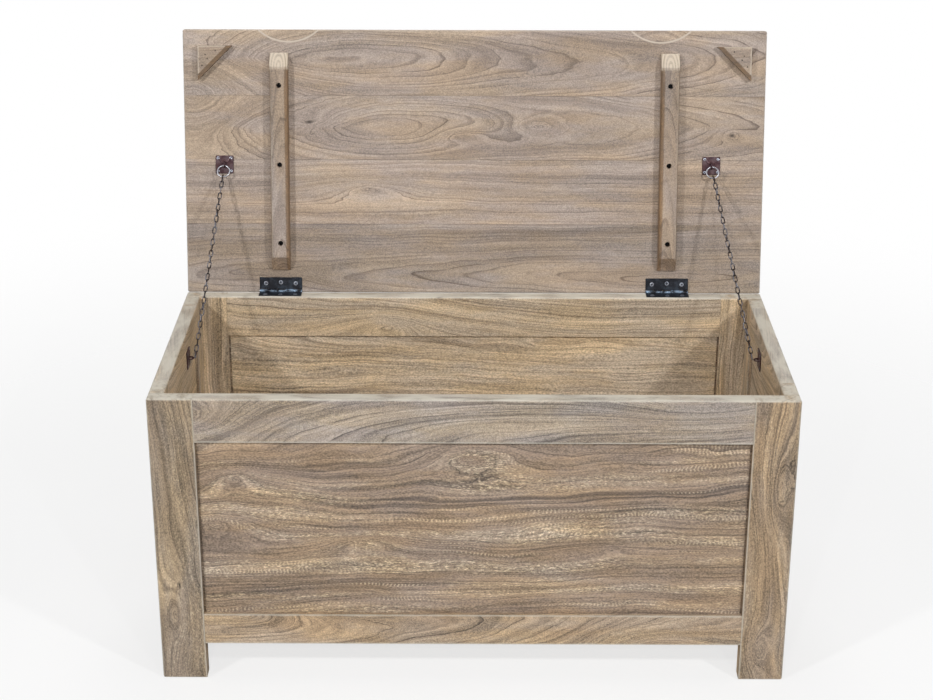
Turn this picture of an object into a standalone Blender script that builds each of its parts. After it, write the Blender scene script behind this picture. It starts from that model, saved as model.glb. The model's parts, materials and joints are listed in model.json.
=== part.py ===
"""Blanket chest: a frame-and-panel box with a hinged plank lid that two chains hold open.

Metres, +Z up, +X to the right as seen from the front. The origin is on the floor, under the
middle of the space that the chest takes with its lid open.
"""
import math

import bmesh
import bpy
from mathutils import Matrix, Vector

# Carcass
CHEST_WIDTH = 1.000
CHEST_DEPTH = 0.455
CARCASS_HEIGHT = 0.494
FRAME_THICKNESS = 0.025
POST_FACE_WIDTH = 0.0708
POST_RETURN_WIDTH = 0.070
TOP_RAIL_HEIGHT = 0.0728
BOTTOM_RAIL_HEIGHT = 0.053
LEG_HEIGHT = 0.065
ARRIS_RADIUS = 0.003

# Joinery
FIT_GAP = 0.0003
TENON_LENGTH = 0.025
TENON_THICKNESS = 0.009
TENON_SHOULDER = 0.012
PANEL_THICKNESS = 0.012
PANEL_SETBACK = 0.0065
TONGUE_THICKNESS = 0.006
TONGUE_DEPTH = 0.009
TONGUE_FLOAT = 0.001
FIELD_SIDE_GAP = 0.003
FIELD_TOP_GAP = 0.0018

# Bottom
BEARER_SIZE = 0.018
BEARER_LIFT = 0.002
BOTTOM_THICKNESS = 0.012

# Lid
LID_THICKNESS = 0.025
LID_GAP = 0.0006
LID_FRONT_SETBACK = 0.006
LID_OPEN_ANGLE = math.radians(102.0)
REAR_LID_BOARD = 0.121
INNER_LID_BOARD = 0.112
OUTER_LID_BOARD = 0.110
SCOOP_END_DISTANCE = 0.181
SCOOP_WIDTH = 0.103
SCOOP_REACH = 0.0205
SCOOP_DEPTH = 0.009
SCOOP_BALL_FACETS = 112

# Battens under the lid
BATTEN_END_DISTANCE = 0.165
BATTEN_WIDTH = 0.031
BATTEN_THICKNESS = 0.018
BATTEN_LENGTH = 0.375
BATTEN_SLOPE = 0.026
BATTEN_LIP = 0.004
BATTEN_INSET = 0.041
BATTEN_ARRIS = 0.0015
BATTEN_SCREW_SPACING = 0.136
BATTEN_SCREW_MIDDLE = 0.225
COUNTERBORE_RADIUS = 0.0045
COUNTERBORE_DEPTH = 0.008

# Corner blocks under the lid
BLOCK_LEG = 0.058
BLOCK_THICKNESS = 0.012
BLOCK_CLEARANCE = 0.002
BRAD_PLACES = ((0.52, 0.14), (0.22, 0.26), (0.28, 0.38), (0.12, 0.58))

# Hinges
HINGE_END_DISTANCE = 0.163
HINGE_LENGTH = 0.074
HINGE_LEAF_WIDTH = 0.024
HINGE_LEAF_THICKNESS = 0.0018
HINGE_BARREL_RADIUS = 0.003
HINGE_PIN_RADIUS = 0.0014
HINGE_KNUCKLES = 5
KNUCKLE_GAP = 0.0004
HINGE_SCREW_SPACING = 0.026

# Chain plates and staples
LID_PLATE_END_DISTANCE = {"left": 0.0685, "right": 0.0905}
LID_PLATE_REACH = 0.224
SIDE_PLATE_REACH = 0.265
SIDE_PLATE_DROP = 0.045
PLATE_SIZE = 0.031
PLATE_THICKNESS = 0.0016
PLATE_CORNER_RADIUS = 0.002
PLATE_SCREW_INSET = 0.0042
STAPLE_WIRE = 0.0026
STAPLE_BEND_RADIUS = 0.005
STAPLE_RISE = 0.0025
STAPLE_LEG = 0.010

# Chains
RING_RADIUS = 0.0105
RING_WIRE = 0.0025
LINK_WIRE = 0.0019
LINK_WIDTH = 0.0075
LINK_PITCH = 0.0108
LINK_GAP = 0.00035
LINK_BITE = 0.0004
LINK_BEND_STEPS = 4
FOLD_LINKS = 5

# Screws and brads
BATTEN_SCREW_HEAD = 0.0038
BATTEN_SCREW_HEAD_DEPTH = 0.0024
BATTEN_SCREW_RADIUS = 0.0019
BATTEN_SCREW_LENGTH = 0.026
HINGE_SCREW_RADIUS = 0.0016
HINGE_SCREW_LENGTH = 0.016
SLOT_LENGTH = 0.005
SLOT_WIDTH = 0.0008
SLOT_DEPTH = 0.0007
PLATE_SCREW_HEAD = 0.0026
PLATE_SCREW_DOME = 0.0006
PLATE_SCREW_RADIUS = 0.0012
PLATE_SCREW_LENGTH = 0.012
BRAD_RADIUS = 0.0007
BRAD_LENGTH = 0.022
BRAD_PIT_DEPTH = 0.0015
BRAD_PIT_RADIUS = 0.0013

# Places that follow from the sizes
HINGE_SETBACK = HINGE_BARREL_RADIUS + FIT_GAP
LID_UNDERSIDE = LID_GAP / 2
LID_REAR = LID_FRONT_SETBACK - HINGE_SETBACK
LID_FRONT = LID_REAR - CHEST_DEPTH
LEAN = LID_OPEN_ANGLE - math.pi / 2
LID_REARWARD = -LID_FRONT * math.sin(LEAN) + (LID_UNDERSIDE + LID_THICKNESS) * math.cos(LEAN)
OVERALL_DEPTH = CHEST_DEPTH + HINGE_SETBACK + LID_REARWARD
FRONT_Y = -OVERALL_DEPTH / 2
REAR_Y = FRONT_Y + CHEST_DEPTH
MIDDLE_Y = (FRONT_Y + REAR_Y) / 2
HALF_WIDTH = CHEST_WIDTH / 2
HINGE_AXIS = Vector((0, REAR_Y + HINGE_SETBACK, CARCASS_HEIGHT + LID_GAP / 2))
LID_MATRIX = Matrix.Translation(HINGE_AXIS) @ Matrix.Rotation(-LID_OPEN_ANGLE, 4, "X")
PANEL_BOTTOM = LEG_HEIGHT + BOTTOM_RAIL_HEIGHT
PANEL_TOP = CARCASS_HEIGHT - TOP_RAIL_HEIGHT
SIDES = {"left": -1, "right": 1}
SCOOP_X = HALF_WIDTH - SCOOP_END_DISTANCE
BATTEN_X = HALF_WIDTH - BATTEN_END_DISTANCE
HINGE_X = HALF_WIDTH - HINGE_END_DISTANCE
SHARP_ANGLE = math.radians(50.0)

# Finishes: colour, roughness, metallic
WEATHERED_WOOD = ((0.36, 0.28, 0.20), 0.75, 0.0)
LID_WOOD = ((0.42, 0.34, 0.26), 0.75, 0.0)
PANEL_WOOD = ((0.31, 0.23, 0.15), 0.75, 0.0)
PLAIN_BOARD = ((0.50, 0.38, 0.24), 0.8, 0.0)
BLACK_IRON = ((0.025, 0.027, 0.03), 0.4, 0.8)
BROWN_IRON = ((0.07, 0.045, 0.04), 0.45, 0.8)
CHAIN_STEEL = ((0.16, 0.13, 0.11), 0.35, 1.0)
SCREW_STEEL = ((0.12, 0.12, 0.13), 0.4, 1.0)


def clear_scene():
    for old in list(bpy.data.objects):
        bpy.data.objects.remove(old)


def make_collection(name):
    collection = bpy.data.collections.new(name)
    bpy.context.scene.collection.children.link(collection)
    return collection


clear_scene()
PARTS = make_collection("blanket_chest")
CUTTERS = make_collection("cutters")


def finish_material(name, finish):
    colour, roughness, metallic = finish
    material = bpy.data.materials.new(name + "_finish")
    material.use_nodes = True
    shader = material.node_tree.nodes["Principled BSDF"]
    shader.inputs["Base Color"].default_value = (*colour, 1.0)
    shader.inputs["Roughness"].default_value = roughness
    shader.inputs["Metallic"].default_value = metallic
    return material


def mesh_from(bm, name):
    mesh = bpy.data.meshes.new(name)
    bm.to_mesh(mesh)
    bm.free()
    return mesh


def add_part(name, bm, finish, parent=None, location=(0, 0, 0)):
    """Puts one sub-part in the chest's collection, under an empty where it moves."""
    mesh = mesh_from(bm, name)
    mesh.materials.append(finish_material(name, finish))
    part = bpy.data.objects.new(name, mesh)
    part.location = location
    part.parent = parent
    PARTS.objects.link(part)
    return part


def add_cutter(name, bm, parent=None):
    cutter = bpy.data.objects.new(name, mesh_from(bm, name))
    cutter.parent = parent
    cutter.hide_render = True
    cutter.display_type = "WIRE"
    CUTTERS.objects.link(cutter)
    return cutter


def add_pivot(name, parent=None, matrix=Matrix.Identity(4)):
    pivot = bpy.data.objects.new(name, None)
    pivot.parent = parent
    pivot.matrix_local = matrix
    PARTS.objects.link(pivot)
    return pivot


def combine(part, cutter, operation="DIFFERENCE"):
    modifier = part.modifiers.new(operation.lower(), "BOOLEAN")
    modifier.operation = operation
    modifier.object = cutter


def round_off(part, radius, segments=2):
    modifier = part.modifiers.new("arris", "BEVEL")
    modifier.width = radius
    modifier.segments = segments
    modifier.limit_method = "ANGLE"


def round_where(part, on_arris, radius):
    """Rounds the edges whose middle, with the part's own location added, on_arris accepts."""
    weights = part.data.attributes.new("bevel_weight_edge", "FLOAT", "EDGE")
    for edge in part.data.edges:
        ends = [part.data.vertices[i].co for i in edge.vertices]
        middle = (ends[0] + ends[1]) / 2 + part.location
        weights.data[edge.index].value = 1.0 if on_arris(middle) else 0.0
    modifier = part.modifiers.new("arris", "BEVEL")
    modifier.width = radius
    modifier.segments = 2
    modifier.limit_method = "WEIGHT"


def join(pieces):
    """One bmesh that holds several separate bodies."""
    joined = bmesh.new()
    for piece in pieces:
        mesh = mesh_from(piece, "piece")
        joined.from_mesh(mesh)
        bpy.data.meshes.remove(mesh)
    return joined


def box(low, high):
    low, high = Vector(low), Vector(high)
    bm = bmesh.new()
    bmesh.ops.create_cube(bm, size=1.0)
    bmesh.ops.scale(bm, vec=high - low, verts=bm.verts)
    bmesh.ops.translate(bm, vec=(low + high) / 2, verts=bm.verts)
    return bm


def shifted(bm, offset):
    bmesh.ops.translate(bm, vec=offset, verts=bm.verts)
    return bm


def add_board(name, low, high, finish, parent=None):
    """A box between two corners, with its origin in its middle."""
    half = (Vector(high) - Vector(low)) / 2
    return add_part(name, box(-half, half), finish, parent, Vector(low) + half)


def shade_round(bm):
    """Smooth faces, with sharp edges where they meet at a clear angle."""
    for face in bm.faces:
        face.smooth = True
    for edge in bm.edges:
        edge.smooth = edge.calc_face_angle(0) < SHARP_ANGLE
    return bm


def rod(radius, length, segments=16):
    """A round bar along X, centred on the origin."""
    bm = bmesh.new()
    turn = Matrix.Rotation(math.pi / 2, 4, "Y")
    bmesh.ops.create_cone(bm, cap_ends=True, segments=segments, radius1=radius, radius2=radius,
                          depth=length, matrix=turn)
    return shade_round(bm)


def turned(profile, steps=12):
    """Spins a profile of (radius, height) pairs, listed from the top down, about Z."""
    bm = bmesh.new()
    points = [bm.verts.new((radius, 0, height)) for radius, height in profile]
    edges = [bm.edges.new(pair) for pair in zip(points, points[1:])]
    bmesh.ops.spin(bm, geom=points + edges, cent=(0, 0, 0), axis=(0, 0, 1),
                   angle=2 * math.pi, steps=steps)
    bmesh.ops.remove_doubles(bm, verts=bm.verts, dist=1e-6)
    bmesh.ops.recalc_face_normals(bm, faces=bm.faces)
    return shade_round(bm)


def peg(radius, top, length):
    """A plain round peg that reaches from z = top down to z = -length."""
    return turned([(0, top), (radius, top), (radius, -length), (0, -length)], 8)


def batten_screw_body():
    """A countersunk screw with the top of its head at z = 0."""
    return turned([(0, 0), (BATTEN_SCREW_HEAD, 0), (BATTEN_SCREW_RADIUS, -BATTEN_SCREW_HEAD_DEPTH),
                   (BATTEN_SCREW_RADIUS, -BATTEN_SCREW_LENGTH), (0, -BATTEN_SCREW_LENGTH)])


def batten_screw_hole():
    """The counterbore over the screw's head, and the hole round the screw."""
    wall = BATTEN_SCREW_RADIUS + FIT_GAP
    foot = -BATTEN_SCREW_LENGTH - FIT_GAP
    over = COUNTERBORE_DEPTH * 2
    return turned([(0, over), (COUNTERBORE_RADIUS, over), (COUNTERBORE_RADIUS, -FIT_GAP),
                   (BATTEN_SCREW_HEAD + FIT_GAP, -FIT_GAP), (wall, -BATTEN_SCREW_HEAD_DEPTH - FIT_GAP),
                   (wall, foot), (0, foot)], 16)


def plate_screw_body():
    """A low domed head that bites into the plate, with its shank."""
    under = -PLATE_THICKNESS / 2
    return turned([(0, PLATE_SCREW_DOME), (PLATE_SCREW_HEAD * 0.7, PLATE_SCREW_DOME * 0.8),
                   (PLATE_SCREW_HEAD, under), (PLATE_SCREW_RADIUS, under),
                   (PLATE_SCREW_RADIUS, -PLATE_SCREW_LENGTH), (0, -PLATE_SCREW_LENGTH)], 8)


def slot_body():
    return box((-SLOT_LENGTH / 2, -SLOT_WIDTH / 2, -SLOT_DEPTH), (SLOT_LENGTH / 2, SLOT_WIDTH / 2, SLOT_DEPTH))


def placed(make, matrices):
    """Separate copies of one body, one for each matrix."""
    pieces = []
    for matrix in matrices:
        piece = make()
        bmesh.ops.transform(piece, matrix=matrix, verts=piece.verts)
        pieces.append(piece)
    return join(pieces)


def mesh_of_curve(curve):
    """The welded mesh of a curve, which booleans and bevels can work on."""
    source = bpy.data.objects.new("outline", curve)
    PARTS.objects.link(source)
    graph = bpy.context.evaluated_depsgraph_get()
    mesh = bpy.data.meshes.new_from_object(source.evaluated_get(graph))
    bm = bmesh.new()
    bm.from_mesh(mesh)
    bmesh.ops.remove_doubles(bm, verts=bm.verts, dist=1e-6)
    bmesh.ops.recalc_face_normals(bm, faces=bm.faces)
    bpy.data.meshes.remove(mesh)
    bpy.data.objects.remove(source)
    bpy.data.curves.remove(curve)
    return bm


def set_points(curve, points, cyclic):
    spline = curve.splines.new("POLY")
    spline.points.add(len(points) - 1)
    for target, point in zip(spline.points, points):
        target.co = (*point, 1.0)
    spline.use_cyclic_u = cyclic


def extruded(outline, thickness):
    """A flat outline in X and Y, as a plate with its middle at z = 0."""
    curve = bpy.data.curves.new("outline", "CURVE")
    curve.dimensions = "2D"
    curve.fill_mode = "BOTH"
    curve.extrude = thickness / 2
    set_points(curve, [(x, y, 0) for x, y in outline], True)
    return mesh_of_curve(curve)


def wire(points, diameter, cyclic):
    curve = bpy.data.curves.new("wire", "CURVE")
    curve.dimensions = "3D"
    curve.bevel_depth = diameter / 2
    curve.bevel_resolution = 1
    curve.use_fill_caps = True
    set_points(curve, points, cyclic)
    return shade_round(mesh_of_curve(curve))


def arc(radius, start, end, steps):
    return [(radius * math.cos(start + (end - start) * i / steps),
             radius * math.sin(start + (end - start) * i / steps)) for i in range(steps + 1)]


# Carcass: four walls of posts, rails and a floating panel

def wall_corners(side, along, inward, height):
    """World corners of a box given along a wall, inward from its outer face, and in height."""
    if side in ("front", "back"):
        face, turn = (FRONT_Y, 1) if side == "front" else (REAR_Y, -1)
        depths = sorted(face + turn * n for n in inward)
        return (along[0], depths[0], height[0]), (along[1], depths[1], height[1])
    face, turn = SIDES[side] * HALF_WIDTH, -SIDES[side]
    depths = sorted(face + turn * n for n in inward)
    return (depths[0], MIDDLE_Y + along[0], height[0]), (depths[1], MIDDLE_Y + along[1], height[1])


def near(value, planes):
    return any(abs(value - plane) < FIT_GAP / 2 for plane in planes)


def on_carcass_arris(point):
    """True on the outer corners, round the rim and round the feet."""
    inner_x = HALF_WIDTH - FRAME_THICKNESS
    outer_x_plane = near(point.x, (-HALF_WIDTH, HALF_WIDTH))
    outer_y_plane = near(point.y, (FRONT_Y, REAR_Y))
    inner_plane = near(point.x, (-inner_x, inner_x)) or near(
        point.y, (FRONT_Y + FRAME_THICKNESS, REAR_Y - FRAME_THICKNESS))
    level = near(point.z, (0, CARCASS_HEIGHT))
    if level:
        return outer_x_plane or outer_y_plane or inner_plane
    return outer_x_plane and outer_y_plane


def wall_reach(side):
    """Half the length between a wall's posts, and where its post boards end."""
    if side in ("front", "back"):
        return HALF_WIDTH - POST_FACE_WIDTH, HALF_WIDTH
    half = CHEST_DEPTH / 2
    return half - POST_RETURN_WIDTH, half - FRAME_THICKNESS - FIT_GAP


def centred(middle, size):
    return middle - size / 2, middle + size / 2


def rail_levels():
    return {"top": (PANEL_TOP, CARCASS_HEIGHT), "bottom": (LEG_HEIGHT, PANEL_BOTTOM)}


def tenon_levels(level):
    """The tenon keeps clear of the panel groove on one edge of its rail."""
    low, high = rail_levels()[level]
    grooved = TENON_SHOULDER + TONGUE_DEPTH - TONGUE_THICKNESS
    if level == "top":
        return low + grooved, high - TENON_SHOULDER
    return low + TENON_SHOULDER, high - grooved


def tongue_box(side, grow, extra):
    half = wall_reach(side)[0] + TONGUE_DEPTH + extra
    middle = PANEL_SETBACK + PANEL_THICKNESS / 2
    levels = (PANEL_BOTTOM - TONGUE_DEPTH - extra, PANEL_TOP + TONGUE_DEPTH + extra)
    return box(*wall_corners(side, (-half, half), centred(middle, TONGUE_THICKNESS + 2 * grow), levels))


def tenon_box(side, level, grow):
    half = wall_reach(side)[0] + TENON_LENGTH + grow
    low, high = tenon_levels(level)
    inward = centred(FRAME_THICKNESS / 2, TENON_THICKNESS + 2 * grow)
    return box(*wall_corners(side, (-half, half), inward, (low - grow, high + grow)))


def build_panel(side):
    """A flat panel with a thinner tongue all round that floats in the frame's groove."""
    half = wall_reach(side)[0] - FIELD_SIDE_GAP
    inward = (PANEL_SETBACK, PANEL_SETBACK + PANEL_THICKNESS)
    levels = (PANEL_BOTTOM + FIT_GAP, PANEL_TOP - FIELD_TOP_GAP)
    panel = add_board(side + "_panel", *wall_corners(side, (-half, half), inward, levels), PANEL_WOOD)
    combine(panel, add_cutter(side + "_panel_tongue", tongue_box(side, 0, 0)), "UNION")


def build_rail(side, level, groove):
    half = wall_reach(side)[0] - FIT_GAP
    corners = wall_corners(side, (-half, half), (0, FRAME_THICKNESS), rail_levels()[level])
    name = f"{side}_{level}_rail"
    rail = add_board(name, *corners, WEATHERED_WOOD)
    round_where(rail, on_carcass_arris, ARRIS_RADIUS)
    combine(rail, add_cutter(name + "_tenon", tenon_box(side, level, 0)), "UNION")
    combine(rail, groove)
    return rail


def post_board_name(side, end):
    if side in ("front", "back"):
        return f"{side}_{'left' if end < 0 else 'right'}_post_face_board"
    return f"{'front' if end < 0 else 'back'}_{side}_post_return_board"


def build_wall(side):
    """Two post boards, two tenoned rails and a panel; returns the top rail."""
    start, stop = wall_reach(side)
    groove = add_cutter(side + "_groove", tongue_box(side, FIT_GAP, TONGUE_FLOAT))
    mortises = add_cutter(side + "_mortises", join([tenon_box(side, "top", FIT_GAP),
                                                    tenon_box(side, "bottom", FIT_GAP)]))
    for end in (-1, 1):
        along = sorted((end * start, end * stop))
        corners = wall_corners(side, along, (0, FRAME_THICKNESS), (0, CARCASS_HEIGHT))
        post = add_board(post_board_name(side, end), *corners, WEATHERED_WOOD)
        round_where(post, on_carcass_arris, ARRIS_RADIUS)
        combine(post, groove)
        combine(post, mortises)
    build_panel(side)
    build_rail(side, "bottom", groove)
    return build_rail(side, "top", groove)


def build_bottom():
    """A loose sheet that lies on two bearers fixed inside the long bottom rails."""
    inner_x = HALF_WIDTH - FRAME_THICKNESS - FIT_GAP
    inner_front = FRONT_Y + FRAME_THICKNESS + FIT_GAP
    inner_rear = REAR_Y - FRAME_THICKNESS - FIT_GAP
    low = LEG_HEIGHT + BEARER_LIFT
    high = low + BEARER_SIZE
    add_board("front_bottom_bearer", (-inner_x, inner_front, low),
              (inner_x, inner_front + BEARER_SIZE, high), PLAIN_BOARD)
    add_board("back_bottom_bearer", (-inner_x, inner_rear - BEARER_SIZE, low),
              (inner_x, inner_rear, high), PLAIN_BOARD)
    base = high + FIT_GAP
    add_board("bottom_sheet", (-inner_x, inner_front, base),
              (inner_x, inner_rear, base + BOTTOM_THICKNESS), PLAIN_BOARD)


# Lid: pieces are placed as they lie when shut, from the hinge axis, and the pivot opens them

def lid_y(reach):
    """A place on the lid, given by its distance from the lid's rear edge."""
    return LID_REAR - reach


def on_lid_arris(point):
    planes = (near(point.x, (-HALF_WIDTH, HALF_WIDTH)), near(point.y, (LID_FRONT, LID_REAR)),
              near(point.z, (LID_UNDERSIDE, LID_UNDERSIDE + LID_THICKNESS)))
    return sum(planes) >= 2


def upward(x, y, z):
    """Drives a screw up into the lid's underside."""
    return Matrix.Translation((x, y, z)) @ Matrix.Rotation(math.pi, 4, "X")


def scoop_cutter(pivot):
    """Two balls that hollow finger pulls under the lid's front edge."""
    spread = (SCOOP_WIDTH ** 2 / 4 + SCOOP_REACH ** 2) / (2 * SCOOP_REACH)
    beyond = spread - SCOOP_REACH
    drop = (spread ** 2 - beyond ** 2 - SCOOP_DEPTH ** 2) / (2 * SCOOP_DEPTH)
    radius = math.hypot(spread, drop)
    balls = []
    for sign in SIDES.values():
        ball = bmesh.new()
        bmesh.ops.create_uvsphere(ball, u_segments=SCOOP_BALL_FACETS,
                                  v_segments=SCOOP_BALL_FACETS // 2, radius=radius)
        middle = (sign * SCOOP_X, LID_FRONT - beyond, LID_UNDERSIDE - drop)
        bmesh.ops.translate(ball, vec=middle, verts=ball.verts)
        balls.append(add_cutter("scoop_ball_" + str(sign), ball, pivot))
    return balls


def build_lid_boards(pivot):
    widths = {"rear": REAR_LID_BOARD, "inner": INNER_LID_BOARD, "outer": OUTER_LID_BOARD}
    boards = {}
    reach = 0.0
    for name, width in widths.items():
        boards[name] = (reach, reach + width)
        reach += width
    boards["front"] = (reach, CHEST_DEPTH)
    parts = {}
    for name, (start, stop) in boards.items():
        rear_trim = 0 if name == "rear" else FIT_GAP
        low = (-HALF_WIDTH, lid_y(stop), LID_UNDERSIDE)
        high = (HALF_WIDTH, lid_y(start + rear_trim), LID_UNDERSIDE + LID_THICKNESS)
        board = add_board(f"lid_{name}_board", low, high, LID_WOOD, pivot)
        round_where(board, on_lid_arris, ARRIS_RADIUS)
        parts[name] = board
    for ball in scoop_cutter(pivot):
        combine(parts["front"], ball)
    return parts


def build_battens(pivot, boards):
    """Two stiffening battens, each with three screws sunk in counterbores."""
    outline = [(0, 0), (0, BATTEN_LIP), (BATTEN_SLOPE, BATTEN_THICKNESS),
               (BATTEN_LENGTH - BATTEN_SLOPE, BATTEN_THICKNESS), (BATTEN_LENGTH, BATTEN_LIP),
               (BATTEN_LENGTH, 0)]
    seat = LID_UNDERSIDE - FIT_GAP
    stand = Matrix(((0, 0, 1, 0), (-1, 0, 0, 0), (0, -1, 0, 0), (0, 0, 0, 1)))
    screw_z = seat - BATTEN_THICKNESS + COUNTERBORE_DEPTH
    drives = {}
    for side, sign in SIDES.items():
        for place, step in (("rear", -1), ("middle", 0), ("front", 1)):
            reach = BATTEN_SCREW_MIDDLE + step * BATTEN_SCREW_SPACING
            drives[f"{side}_batten_{place}_screw"] = upward(sign * BATTEN_X, lid_y(reach), screw_z)
    holes = add_cutter("batten_screw_holes",
                       placed(batten_screw_hole, drives.values()), pivot)
    for side, sign in SIDES.items():
        batten_bm = extruded(outline, BATTEN_WIDTH)
        bmesh.ops.transform(batten_bm, matrix=stand, verts=batten_bm.verts)
        batten = add_part(side + "_lid_batten", batten_bm, LID_WOOD, pivot,
                          (sign * BATTEN_X, lid_y(BATTEN_INSET), seat))
        round_off(batten, BATTEN_ARRIS, 1)
        combine(batten, holes)
    for board in boards.values():
        combine(board, holes)
    for name, drive in drives.items():
        add_part(name, placed(batten_screw_body, [drive]), SCREW_STEEL, pivot)


def build_corner_blocks(pivot, boards):
    """Triangular blocks that centre the shut lid in the front corners, each held by brads."""
    corner_x = HALF_WIDTH - FRAME_THICKNESS - BLOCK_CLEARANCE
    corner_y = LID_FRONT + FRAME_THICKNESS + BLOCK_CLEARANCE
    seat = LID_UNDERSIDE - FIT_GAP
    face = seat - BLOCK_THICKNESS
    for side, sign in SIDES.items():
        name = side + "_lid_corner_block"
        outline = [(0, 0), (-sign * BLOCK_LEG, 0), (0, BLOCK_LEG)]
        block = add_part(name, extruded(outline, BLOCK_THICKNESS), LID_WOOD, pivot,
                         (sign * corner_x, corner_y, seat - BLOCK_THICKNESS / 2))
        drives = [upward(sign * (corner_x - across * BLOCK_LEG), corner_y + back * BLOCK_LEG, face)
                  for across, back in BRAD_PLACES]
        pits = placed(lambda: peg(BRAD_PIT_RADIUS, BRAD_PIT_DEPTH, BRAD_PIT_DEPTH), drives)
        brads = placed(lambda: peg(BRAD_RADIUS, -BRAD_PIT_DEPTH / 2, BRAD_LENGTH), drives)
        holes = placed(lambda: peg(BRAD_RADIUS + FIT_GAP, 0, BRAD_LENGTH + FIT_GAP), drives)
        combine(block, add_cutter(name + "_pits", pits, pivot))
        combine(block, add_cutter(name + "_brads", brads, pivot), "UNION")
        hole_cutter = add_cutter(name + "_brad_holes", holes, pivot)
        combine(boards["front"], hole_cutter)
        combine(boards["outer"], hole_cutter)


# Hinges: built round the hinge axis, leaves pointing to the front as when shut

def leaf_span(upper):
    """Heights of a leaf's two faces, measured from the hinge axis."""
    if upper:
        return LID_UNDERSIDE, LID_UNDERSIDE + HINGE_LEAF_THICKNESS
    return -LID_UNDERSIDE - HINGE_LEAF_THICKNESS, -LID_UNDERSIDE


def leaf_bodies(upper):
    """A leaf's plate, and its knuckles with the tabs that roll into them."""
    low, high = leaf_span(upper)
    barrel_clear = HINGE_BARREL_RADIUS + KNUCKLE_GAP
    half = HINGE_LENGTH / 2
    plate = box((-half, -HINGE_LEAF_WIDTH, low), (half, -barrel_clear, high))
    share = HINGE_LENGTH / HINGE_KNUCKLES
    length = share - KNUCKLE_GAP
    knuckles, tabs = [], []
    for index in range(1 if upper else 0, HINGE_KNUCKLES, 2):
        middle = -half + (index + 0.5) * share
        knuckle = rod(HINGE_BARREL_RADIUS, length)
        bmesh.ops.translate(knuckle, vec=(middle, 0, 0), verts=knuckle.verts)
        knuckles.append(knuckle)
        tabs.append(box((middle - length / 2, -barrel_clear - HINGE_LEAF_THICKNESS, low),
                        (middle + length / 2, 0, high)))
    return plate, join(tabs), join(knuckles)


def recess_box(upper):
    """The shallow housing that lets a leaf in flush."""
    low, high = leaf_span(upper)
    reach = HINGE_LENGTH / 2 + FIT_GAP
    outside = HINGE_SETBACK
    if upper:
        return box((-reach, -HINGE_LEAF_WIDTH - FIT_GAP, -outside), (reach, outside, high + FIT_GAP))
    return box((-reach, -HINGE_LEAF_WIDTH - FIT_GAP, low - FIT_GAP), (reach, outside, outside))


def barrel_groove():
    """The notch that clears the knuckles where the lid's rear edge runs past the hinge axis."""
    reach = HINGE_LENGTH / 2 + FIT_GAP
    clear = HINGE_BARREL_RADIUS + KNUCKLE_GAP
    return box((-reach, -clear, -clear), (reach, clear, clear))


def hinge_screw_places(upper):
    """Three screws in a shallow zigzag, with their heads flush in the leaf."""
    middle = -(HINGE_LEAF_WIDTH + HINGE_BARREL_RADIUS) / 2
    low, high = leaf_span(upper)
    places = []
    for step in (-1, 0, 1):
        x = step * HINGE_SCREW_SPACING
        y = middle - (HINGE_LEAF_THICKNESS if step == 0 else 0)
        places.append(upward(x, y, low) if upper else Matrix.Translation((x, y, high)))
    return places


def build_leaf(name, upper, offset, parent, wood):
    """One leaf with its knuckles and its three slotted screws, and its housing in the wood."""
    plate, tabs, knuckles = leaf_bodies(upper)
    leaf = add_part(name, plate, BLACK_IRON, parent, offset)
    drives = [Matrix.Translation(offset) @ place for place in hinge_screw_places(upper)]
    bore = rod(HINGE_PIN_RADIUS + FIT_GAP, HINGE_LENGTH * 2)
    combine(leaf, add_cutter(name + "_tabs", shifted(tabs, offset), parent), "UNION")
    combine(leaf, add_cutter(name + "_knuckles", shifted(knuckles, offset), parent), "UNION")
    combine(leaf, add_cutter(name + "_bore", shifted(bore, offset), parent))
    combine(leaf, add_cutter(name + "_screws", placed(lambda: peg(HINGE_SCREW_RADIUS, -SLOT_DEPTH,
                                                                  HINGE_SCREW_LENGTH), drives), parent), "UNION")
    combine(leaf, add_cutter(name + "_slots", placed(slot_body, drives), parent))
    combine(wood, add_cutter(name + "_recess", shifted(recess_box(upper), offset), parent))
    combine(wood, add_cutter(name + "_groove", shifted(barrel_groove(), offset), parent))
    combine(wood, add_cutter(name + "_screw_holes", placed(lambda: peg(
        HINGE_SCREW_RADIUS + FIT_GAP, 0, HINGE_SCREW_LENGTH + FIT_GAP), drives), parent))


def build_hinges(pivot, rear_board, rear_rail):
    """Two butt hinges let into the rear rail and the lid's rear board."""
    for side, sign in SIDES.items():
        offset = Vector((sign * HINGE_X, 0, 0))
        build_leaf(side + "_hinge_lid_leaf", True, offset, pivot, rear_board)
        build_leaf(side + "_hinge_frame_leaf", False, HINGE_AXIS + offset, None, rear_rail)
        add_part(side + "_hinge_pin", rod(HINGE_PIN_RADIUS, HINGE_LENGTH, 12), BLACK_IRON, None,
                 HINGE_AXIS + Vector((sign * HINGE_X, 0, 0)))


# Chain plates: a square plate, a U-shaped staple and four screws, built facing +Z

def plate_body():
    corner = PLATE_SIZE / 2 - PLATE_CORNER_RADIUS
    outline = []
    for index, (sx, sy) in enumerate(((1, 1), (-1, 1), (-1, -1), (1, -1))):
        start = index * math.pi / 2
        outline += [(sx * corner + x, sy * corner + y)
                    for x, y in arc(PLATE_CORNER_RADIUS, start, start + math.pi / 2, 2)]
    return shifted(extruded(outline, PLATE_THICKNESS), (0, 0, FIT_GAP + PLATE_THICKNESS / 2))


def staple_body():
    rise = FIT_GAP + PLATE_THICKNESS + STAPLE_RISE
    bend = [(0, y, rise + z) for y, z in arc(STAPLE_BEND_RADIUS, 0, math.pi, 6)]
    legs = [(0, STAPLE_BEND_RADIUS, -STAPLE_LEG), (0, -STAPLE_BEND_RADIUS, -STAPLE_LEG)]
    return wire([legs[0]] + bend + [legs[1]], STAPLE_WIRE, False)


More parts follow.
